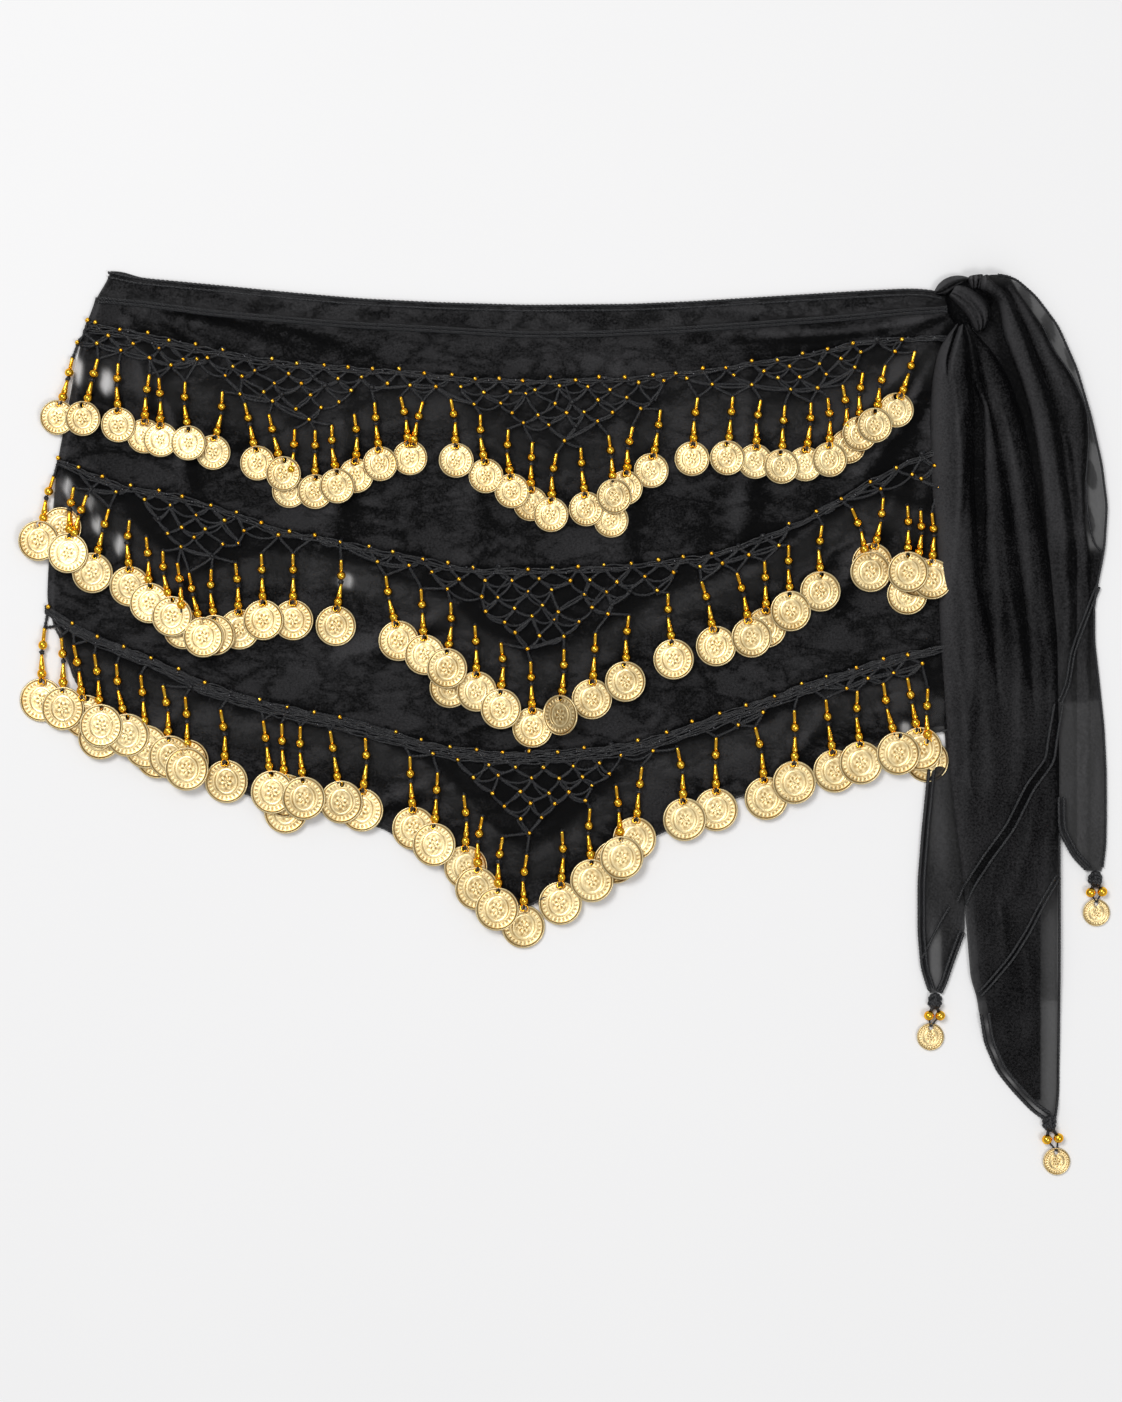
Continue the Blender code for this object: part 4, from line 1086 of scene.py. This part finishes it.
FOLD_C_RIGHT = [(241, 228), (237.3, 229), (234.6, 236.5), (228.2, 241.7), (217.9, 245.2),
                (208.2, 250), (198.5, 253.3), (188.2, 257.6), (178.5, 260.8), (168.8, 264.1),
                (158, 266.5), (120, 273), (90, 277)]
FOLD_C_HEM = [(241, 240), (232, 245), (224, 251), (214.7, 257.6), (200.6, 264.1),
              (188.2, 273.2), (178.5, 278.1), (167.7, 282.2), (153.6, 283), (141.2, 282.2),
              (131.5, 281.3), (110, 281), (90, 284)]
HEM_C_INNER = [(257.6, 214.7), (264.1, 200.6), (273.2, 188.2), (278.1, 178.5), (282.2, 167.7),
               (283, 153.6), (282.2, 141.2), (281.3, 131.5), (282.5, 112), (286, 96),
               (291, 92)]
HEM_C_OUTER = [(233, 241), (243, 239.8), (254, 230.3), (266, 214.3), (276.3, 191), (283.8, 166),
               (289.8, 140), (292.8, 117), (291.4, 94), (287.4, 73.5), (286, 62)]
HEM_C_BEADED = [(288, 73.7), (283.5, 62.4), (279.7, 52.7), (274.3, 38.1), (271.6, 20.8),
                (267.3, 11)]
HEM_C_RIGHT = [(286, 62), (286, 44), (288.5, 22), (291, -2), (292.2, -26), (292.3, -50),
               (292, -66), (290.5, -78)]
HEM_C_LOWER = [(266.5, -40), (266.8, -57.5), (274.3, -71.6), (282, -79.5)]
TAIL_B_Z = 1.2
TAIL_CORE_Z = 1.5
TAIL_A_Z = 2.6
TAIL_C_Z = 1.0
EVEN_TONE = -0.10


def column(table, index, reach=4.0):
    """Callable line of one column of a table against its first column."""
    return smooth_line([(row[0], row[index]) for row in table], reach)


tail_a_left = column(TAIL_A, 1)
tail_a_right = column(TAIL_A, 2)
valley_0 = smooth_line(VALLEY_0, 3.0)
valley_1 = smooth_line(VALLEY_1, 5.0)
valley_2 = smooth_line(VALLEY_2, 5.0)
fold_c_left = smooth_line(FOLD_C_LEFT, 3.0)
fold_c_right = smooth_line(FOLD_C_RIGHT, 3.0)
fold_c_hem = smooth_line(FOLD_C_HEM, 3.0)

TAIL_A_CREASES = Creases([
    (208, 196, 206, 60, 0.9, 2.2), (214, 190, 211, 90, -0.7, 2.0), (217, 200, 217, 120, 0.6, 1.6),
    (228, 190, 246, 90, 0.8, 2.2), (226, 196, 240, 120, -0.6, 1.8), (234, 176, 250, 60, 0.7, 2.4),
    (243, 180, 258, 80, -0.6, 2.0), (226, 120, 232, 10, 0.8, 3.0), (212, 90, 216, -20, 0.9, 3.4),
    (236, 90, 244, -10, 0.8, 3.0), (252, 70, 258, -30, -0.6, 3.0), (206, 60, 216, -60, 0.7, 2.6),
    (224, 30, 226, -60, 0.8, 4.0), (244, 20, 240, -50, 0.8, 4.0), (256, -30, 232, -110, 0.6, 3.6),
    (260, -50, 252, -120, 0.6, 3.0), (232, -90, 236, -150, 0.6, 4.0), (246, -110, 250, -180, 0.6, 4.0),
    (258, -130, 260, -190, -0.4, 3.0)]
    + small_creases(wrinkles, 40, (200, -190, 264, 170), (0.12, 0.4), (1.0, 2.6), (14, 45),
                    (1.2, 1.9)))
TAIL_C_CREASES = Creases([
    (232, 236, 252, 190, 0.6, 1.6), (238, 230, 262, 170, -0.5, 1.5), (246, 226, 272, 170, 0.6, 2.0),
    (262, 180, 272, 110, 0.7, 2.2), (268, 170, 276, 90, -0.5, 2.0), (262, 150, 268, 60, 0.7, 2.4),
    (276, 140, 280, 70, 0.6, 2.4), (270, 90, 268, 20, 0.7, 2.6), (280, 40, 282, -40, 0.5, 2.8),
    (272, 20, 274, -50, 0.5, 2.4), (286, 0, 286, -60, 0.4, 2.2)]
    + small_creases(wrinkles, 30, (255, -70, 290, 200), (0.1, 0.35), (1.0, 2.4), (12, 40),
                    (1.2, 1.9)))


def arch(place, start, end, height, flat=2.4):
    """Rounded fold between two places, with steep sides; 0 outside them."""
    width = np.maximum(end - start, 0.5)
    share = np.clip((place - start) / width, 0.0, 1.0)
    return height * (1 - np.abs(2 * share - 1) ** flat) ** 0.7


def tail_a_height(across, up):
    """Top of the front tail: three long folds that flatten towards the tip."""
    left = tail_a_left(up)
    right = tail_a_right(up)
    deep = ease(up, -10.0, 95.0) * (0.35 + 0.65 * ease(up, 214.0, 188.0))
    first = arch(across, left, valley_1(up), 2.2 + 5.0 * deep)
    gap = 6.0 * ease(up, 186.0, 168.0) * ease(up, 70.0, 120.0)
    second = arch(across, valley_1(up) - 0.5 + gap, valley_2(up) + 1.0, 1.5 + 1.6 * deep)
    third = arch(across, valley_2(up) - 0.5, right, 1.8 + 3.2 * deep)
    folds = np.maximum(np.maximum(first, second), third)
    flat = arch(across, left, right, 2.2, 9.0)
    split = arch(across, left, valley_0(up), 3.6) * ease(up, 176.0, 192.0)
    notch = 2.2 * ease(up, 182.0, 200.0) * np.exp(-((across - valley_0(up)) / 1.2) ** 2)
    rise = mix(flat, folds, ease(up, -15.0, 60.0))
    creased = 0.4 * TAIL_A_CREASES.rise(across, up) * ease(across - left, 0.0, 3.0)
    creased = creased * ease(right - across, 0.0, 3.0)
    low = mix(FLOOR_CLEAR, TAIL_A_Z, ease(up, -190.0, -120.0))
    return low + np.maximum(rise, split) - notch + creased


def tail_c_height(across, up):
    """Top of the right tail: one round fold from the knot, then shallower ones."""
    high = ease(up, 60.0, 205.0)
    first = arch(across, fold_c_left(up), fold_c_right(up), 1.4 + 5.4 * high)
    second = arch(across, fold_c_right(up) - 0.6, fold_c_hem(up), 0.9 + 2.6 * high)
    base = TAIL_C_Z + 2.5 * high
    shoulder = 3.0 * ease(up, 215.0, 236.0) * ease(across, 250.0, 226.0)
    return base + shoulder + np.maximum(first, second) + TAIL_C_CREASES.rise(across, up) * 0.4


def tail_a_shade_and_hem_tone(across, up):
    """Painted shade of the folds, darker right of the first valley and most in the gap there; also
    darker along the hem bands and towards the tip.
    """
    upper = ease(beside_line(across, up, HEM_A_UPPER), 3.6, 2.4)
    lower = ease(beside_line(across, up, HEM_A_LOWER), 2.6, 1.4)
    middle = ease(across, valley_1(up), valley_1(up) + 8) * ease(up, -10.0, 60.0)
    gap = np.exp(-((across - valley_1(up) - 3.0) / 3.0) ** 2) * ease(up, 60.0, 110.0)
    return (-0.09 - 0.12 * ease(up, 20.0, -60.0) - 0.20 * upper - 0.16 * lower - 0.22 * middle
            - 0.45 * gap)


def span_sheet(name, rows, columns, left, right, ups, height, material, tones):
    """Sheet between a left and a right line, from the first to the last of its heights up."""
    up = np.interp(np.linspace(0, 1, rows), np.linspace(0, 1, len(ups)), ups)[:, None]
    share = (1 - np.cos(np.linspace(0, math.pi, columns)[None, :])) / 2
    share = mix(share, np.linspace(0, 1, columns)[None, :], 0.7)
    across = mix(left(up), right(up), share)
    up = np.broadcast_to(up, across.shape)
    z = height(across, up)
    points = np.stack([across, up, z], axis=-1).reshape(-1, 3)
    item = mesh_object(name, points, [grid_faces(rows, columns)], material)
    paint_light_and_shade(item, across, up, z, 1.1, tones(across, up))
    return item, across, up


def beside_line(across, up, table):
    """Least distance from each place to a line of (across, up) rows."""
    least = np.full(across.shape, 1e3)
    for (x0, y0), (x1, y1) in zip(table, table[1:]):
        length = math.hypot(x1 - x0, y1 - y0)
        along = ((across - x0) * (x1 - x0) + (up - y0) * (y1 - y0)) / length ** 2
        along = np.clip(along, 0.0, 1.0)
        least = np.minimum(least, np.hypot(across - mix(x0, x1, along), up - mix(y0, y1, along)))
    return least


def build_tail_a():
    item, across, up = span_sheet("tail_a_chiffon", 380, 110, tail_a_left, tail_a_right,
                                  (215.5, -213.5), tail_a_height, CHIFFON_TAIL, tail_a_shade_and_hem_tone)
    lower = ease(up, -60.0, -110.0)
    right = ease(across, 252.0, 262.0)
    thick = mix(3.2, 2.0, lower) - 0.6 * lower * right
    thick = np.where(up < -150, thick - 0.3, thick)
    from_left = across - tail_a_left(up)
    margin = ease(from_left, 11.0, 5.0) * ease(up, 76.0, 90.0) * ease(up, 160.0, 145.0)
    sliver = ease(from_left, 0.6, 1.6) * ease(from_left, 5.2, 4.2) * ease(up, -156.0, -162.0)
    sliver = sliver * (0.6 + 0.4 * np.sin(up / 2.4))
    paint_layers(item, (thick - 0.9 * margin) * (1 - 0.6 * sliver))
    ride_piece(item, ["tail_a"])


def inner_left(up):
    return np.maximum(tail_a_left(up) + 5, 212.0)


def inner_right(up):
    return np.minimum(tail_a_right(up) - 6.0, mix(262.0, 257.0, ease(up, -40.0, -110.0)))


def inner_height(across, up):
    return TAIL_CORE_Z + 0.3 * np.sin(across / 3.1) + 0 * up


def build_tail_inner():
    """Plain layers gathered under the front tail."""
    item, across, _ = span_sheet("tail_inner", 150, 24, inner_left, inner_right, (196.0, -203.0),
                                 inner_height, CHIFFON_TAIL, level_at(EVEN_TONE))
    paint_layers(item, np.full(across.shape, 2.0))
    ride_piece(item, ["tail_core"])


def tail_b_height(across, up):
    return TAIL_B_Z + 0.7 * np.sin(across / 2.7 + up / 31) * np.sin((up + 20) / 24)


def build_tail_b():
    item, across, up = span_sheet("tail_b_chiffon", 130, 30, column(TAIL_B, 1, 3.0),
                                  column(TAIL_B, 2, 3.0), (13.0, -145.5), tail_b_height,
                                  CHIFFON_TAIL, level_at(EVEN_TONE))
    thick = 1.75 + 0.9 * np.exp(-((across - column(TAIL_B, 1)(up)) / 2.2) ** 2)
    diamond = ease(np.abs(across - 200.5), 4.0, 2.4) * ease(up, -104.0, -118.0)
    paint_layers(item, thick * (1 - 0.55 * diamond) + 0.3 * ease(up, -60.0, -95.0))
    ride_piece(item, ["tail_b"])


def build_tail_c():
    rows, columns = 260, 80
    steps = np.linspace(0, 1, len(TAIL_C))
    fine = np.linspace(0, 1, rows)
    sides = [eased_run(np.interp(fine, steps, [row[index] for row in TAIL_C]), 12, 6.0)
             for index in range(4)]
    share = np.linspace(0, 1, columns)[None, :]
    across = mix(sides[0][:, None], sides[2][:, None], share)
    up = mix(sides[1][:, None], sides[3][:, None], share)
    z = tail_c_height(across, up)
    z = mix(4.0, z, ease(fine, 0.0, 0.06)[:, None])
    points = np.stack([across, up, z], axis=-1).reshape(-1, 3)
    item = mesh_object("tail_c_chiffon", points, [grid_faces(rows, columns)], CHIFFON_TAIL)
    paint_light_and_shade(item, across, up, z, 1.4, -0.22)
    beyond = ease(across - fold_c_hem(up), -1.5, 0.5) * ease(up, 88.0, 96.0)
    above_hem = 1.0 - ease(up, 78.0, 20.0) * 0.42
    thick = mix(3.4, 1.0, beyond) * above_hem
    lozenges = np.sin(across / 2.6 + up / 9.0) * np.sin(up / 7.5 - across / 11.0) > 0.35
    thick = thick + 0.55 * beyond * lozenges
    paint_layers(item, np.where(up < 12, 1.5, thick))
    ride_piece(item, ["tail_c"])


def hem_line(pile, table, height, radius, twist, offsets):
    """Corded hem along places (across, up), eased between them."""
    table = np.array(table, float)
    run = np.concatenate([[0.0], np.cumsum(np.hypot(*np.diff(table, axis=0).T))])
    fine = np.arange(0.0, run[-1], 1.0)
    lines = [eased_run(np.interp(fine, run, table[:, axis]), 8, 4.0) for axis in (0, 1)]
    heading = np.arctan2(np.gradient(lines[1]), np.gradient(lines[0]))
    for offset in offsets:
        across = lines[0] - offset * np.sin(heading)
        up = lines[1] + offset * np.cos(heading)
        plied_cord(pile, across, up, height(across, up) + 0.3, radius, twist, 3.4)


LEVEL_B = level_at(TAIL_B_Z)
# name, height, replaced nodes, then each cord as (places, radius, twist, offsets)
TAIL_HEMS = [
    ("tail_a_hems", tail_a_height, [],
     [(HEM_A_LEFT, 0.8, 0.5, (0.4, 4.2)), (HEM_A_RIGHT, 0.55, 0.35, (0.0,))]),
    ("tail_a_hem_upper", tail_a_height, ["tail_a_band_upper"],
     [(HEM_A_UPPER, 0.55, 0.4, (-2.4, 2.4))]),
    ("tail_a_hem_lower", tail_a_height, ["tail_a_band_lower"],
     [(HEM_A_LOWER, 0.55, 0.4, (-1.2, 1.2))]),
    ("tail_b_hems", LEVEL_B, [],
     [(HEM_B_LEFT, 0.7, 0.45, (0.4, 3.0)), (HEM_B_RIGHT, 0.7, 0.45, (-0.4, -2.6)),
      (HEM_B_CROSS, 0.6, 0.35, (0.0,))]),
    ("tail_c_hems", tail_c_height, [],
     [(HEM_C_INNER, 0.4, 0.3, (0.0,)), (HEM_C_OUTER, 0.5, 0.35, (0.0,)),
      (HEM_C_BEADED, 0.5, 0.4, (-1.0, 1.0)), (HEM_C_RIGHT, 0.5, 0.35, (0.0,)),
      (HEM_C_LOWER, 0.75, 0.5, (0.2, 3.0))]),
]


def build_tail_hems():
    for name, height, replaced, cords in TAIL_HEMS:
        pile = Pile()
        for places, radius, twist, offsets in cords:
            hem_line(pile, places, height, radius, twist, offsets)
        ride_piece(pile.object(name, CORD), replaced)


# --- tips ---------------------------------------------------------------------
TIPS = [("tail_a", (262, -216.3), [(260.4, -224.4), (266.6, -223.6)], (265.9, -236.4)),
        ("tail_b", (200.2, -150.2), [(196.8, -157.6), (202.8, -157.6)], (197.8, -169.2)),
        ("tail_c", (286.6, -84.4), [(284.0, -91.2), (290.2, -90.8)], (287.3, -102.2))]


TIP_COIN_RADIUS = 7.4


def build_tips():
    """Crochet knot, two beads and a small coin at the end of each tail."""
    random = np.random.default_rng(SEED + 60)
    for name, knot, beads, coin in TIPS:
        pile = Pile()
        for turn in range(34):
            angle = turn * 2.4
            place = (knot[0] + 2.5 * math.cos(angle) * (turn % 5) / 4,
                     knot[1] + 3.5 * math.sin(angle) * (turn % 5) / 4)
            points, faces = lathe(ball_profile(-1.7, 3.4, 1.7, 5, 0.15), 8)
            points *= 1 + 0.12 * random.normal(0, 1, (len(points), 1)).clip(-1, 1)
            height = 2.6 + 1.2 * math.cos(turn)
            pile.add(turned(points, angle, (*place, height)), faces)
        for x, y in beads:
            halfway = (mix(knot[0], x, 0.5), mix(knot[1], y, 0.5))
            pile.add(*tube([(*knot, 1.8), (*halfway, 1.8), (x, y, 1.6)], 0.9, 6))
            halfway = (mix(x, coin[0], 0.5), mix(y, coin[1] + 5.5, 0.5))
            hole = (coin[0], coin[1] + 5.4)
            pile.add(*tube([(x, y, 1.4), (*halfway, 1.4), (*hole, 1.2)], 0.5, 6))
        ride_piece(pile.object(f"{name}_tip_knot", CORD), [f"{name}_knot"])
        for side, (x, y) in zip(("left", "right"), beads):
            bead = Pile()
            put(bead, ball_profile(-2.5, 5.0, 2.75, 8, 0.3), 18, 0.3, (x, y, 3.1))
            ride_piece(bead.object(f"{name}_tip_bead_{side}", BEAD_GOLD),
                       [f"{name}_bead_{side}"])
        disc = Pile()
        heading = random.uniform(-0.1, 0.1)
        add_coin(disc, random, TIP_COIN_RADIUS, (*coin, 0.9), heading, 0.02, 0.03)
        ride_piece(disc.object(f"{name}_tip_coin", COIN_GOLD), [f"{name}_coin"])


# --- knot ---------------------------------------------------------------------
# wrap: lower left edge and upper right edge of the band that crosses the knot
WRAP_LOW = [(207.5, 230.5), (209.3, 226.8), (213.5, 222), (217.6, 217), (220.3, 212.2),
            (222.5, 210.5)]
WRAP_HIGH = [(209.6, 233.6), (214.5, 236), (221.9, 231.8), (228.3, 226.6), (229.8, 219),
             (226.3, 211)]


def cloth_patch(name, low, high, rows, columns, dome, base, ridges, replaced, thick=3.2):
    """Domed patch of cloth between two edges, with ridges that run along it."""
    run = np.linspace(0, 1, rows)
    edges = []
    for edge in (low, high):
        table = np.array(edge, float)
        steps = np.linspace(0, 1, len(table))
        smooth = []
        for axis in (0, 1):
            fit = np.polynomial.chebyshev.Chebyshev.fit(steps, table[:, axis],
                                                        min(4, len(table) - 1))
            smooth.append(fit(run))
        edges.append(np.stack(smooth, axis=-1))
    share = np.linspace(0, 1, columns)[None, :, None]
    flat = mix(edges[0][:, None, :], edges[1][:, None, :], share)
    u = share[..., 0]
    v = run[:, None]
    round_off = (1 - np.abs(2 * u - 1) ** 2.3) ** 0.6
    ends_off = (1 - np.abs(2 * v - 1) ** 2.6) ** 0.5
    z = base + dome * round_off * (0.35 + 0.65 * ends_off)
    for place, height, half_width in ridges:
        z = z + height * np.exp(-((u - place - 0.06 * np.sin(3 * v)) / half_width) ** 2) * ends_off
    points = np.concatenate([flat, z[..., None]], axis=-1).reshape(-1, 3)
    item = mesh_object(name, points, [grid_faces(rows, columns)], CHIFFON_TAIL)
    paint_layers(item, np.full(rows * columns, thick))
    paint_light_and_shade(item, flat[..., 0], flat[..., 1], z, 1.0, -0.17)
    ride_piece(item, replaced)
    return item


def build_knot():
    under = Pile()
    turns = np.linspace(0, 2 * math.pi, 40, endpoint=False)
    for scale, height in ((1.0, 2.6), (0.96, 4.8), (0.82, 6.6), (0.55, 7.8), (0.05, 8.2)):
        wave = 1 + 0.04 * np.sin(5 * turns) + 0.03 * np.sin(9 * turns + 1)
        ring = np.stack([218.5 + 12.6 * scale * wave * np.cos(turns),
                         226.0 + 13.0 * scale * wave * np.sin(turns),
                         np.full(40, height)], axis=-1)
        under.points.append(ring)
    under.faces.append(grid_faces(5, 40, wrap=True))
    heart = under.object("knot_under", CHIFFON_TAIL)
    paint_layers(heart, np.full(200, 5.0))
    ride_piece(heart, ["knot_heart"])
    cloth_patch("knot_band", WRAP_LOW, WRAP_HIGH, 70, 40, 6.8, 5.4,
                [(0.12, 0.8, 0.05), (0.26, -0.7, 0.05), (0.36, 0.5, 0.05), (0.5, -0.4, 0.06),
                 (0.75, 0.5, 0.12)], ["knot_wrap"])
    cloth_patch("knot_hump", [(200.3, 231), (206.5, 230.3), (210, 232.6), (214, 236.2), (218, 237)],
                [(199.8, 233), (203.6, 238.4), (209.5, 241.1), (215.5, 241.1), (219.5, 239.3)],
                50, 26, 3.8, 3.0, [(0.3, -0.6, 0.09), (0.62, 0.5, 0.1)],
                ["knot_gather", "knot_loop"])
    cloth_patch("knot_fan", [(219, 233.5), (218, 236.5), (217.4, 239.4), (219.4, 241)],
                [(224.6, 233.6), (225, 237), (225.6, 240.4), (224.6, 241.6)],
                40, 26, 3.4, 6.4, [(0.3, -1.1, 0.06), (0.66, -1.2, 0.06)], ["knot_pleat"])


build_tail_b()
build_tail_inner()
build_tail_a()
build_tail_c()
build_tail_hems()
build_tips()
build_knot()


# --- stage --------------------------------------------------------------------
def build_floor():
    mesh = bpy.data.meshes.new("floor")
    half = 6.0
    level = -0.2 * MM
    corners = [(x, y, level) for x, y in ((-half, -half), (half, -half), (half, half),
                                          (-half, half))]
    mesh.from_pydata(corners, [], [(0, 1, 2, 3)])
    finish = Finish("floor", Roughness=0.9, Specular_IOR_Level=0.1)
    soft = finish.noise(finish.places(), 3.0, 2.0)
    finish.join(finish.ramp(soft, 0.2, 0.8, (0.885, 0.88, 0.878), (0.90, 0.895, 0.893)),
                finish.shader.inputs["Base Color"])
    mesh.materials.append(finish.material)
    floor = bpy.data.objects.new("floor", mesh)
    bpy.context.collection.objects.link(floor)


def area_light(name, place, aim, size, power):
    light = bpy.data.lights.new(name, "AREA")
    light.shape = "SQUARE"
    light.size = size
    light.energy = power
    item = bpy.data.objects.new(name, light)
    item.location = place
    gaze = np.array(aim) - np.array(place)
    item.rotation_euler = (math.atan2(math.hypot(gaze[0], gaze[1]), -gaze[2]), 0.0,
                           math.atan2(gaze[1], gaze[0]) - math.pi / 2)
    bpy.context.collection.objects.link(item)


def build_lights():
    world = bpy.data.worlds.new("studio")
    world.use_nodes = True
    backdrop = world.node_tree.nodes["Background"]
    backdrop.inputs["Color"].default_value = (0.97, 0.98, 1.0, 1.0)
    backdrop.inputs["Strength"].default_value = 0.39
    bpy.context.scene.world = world
    area_light("key", (-1.1, 1.2, 2.9), (0.0, -0.15, 0.0), 1.2, 57.0)
    area_light("fill", (1.4, -1.1, 2.9), (0.0, -0.1, 0.0), 1.0, 27.0)


def build_camera():
    """Camera straight above, framed on 0.606 by 0.757 m of the surface."""
    camera = bpy.data.cameras.new("camera")
    camera.lens = 90.0
    camera.sensor_width = 36.0
    frame_height = 0.757
    distance = camera.lens / camera.sensor_width * frame_height
    item = bpy.data.objects.new("camera", camera)
    item.location = (-0.0016, 0.012, distance)
    bpy.context.collection.objects.link(item)
    bpy.context.scene.camera = item


build_floor()
build_lights()
build_camera()
bpy.context.scene.view_settings.view_transform = "Standard"
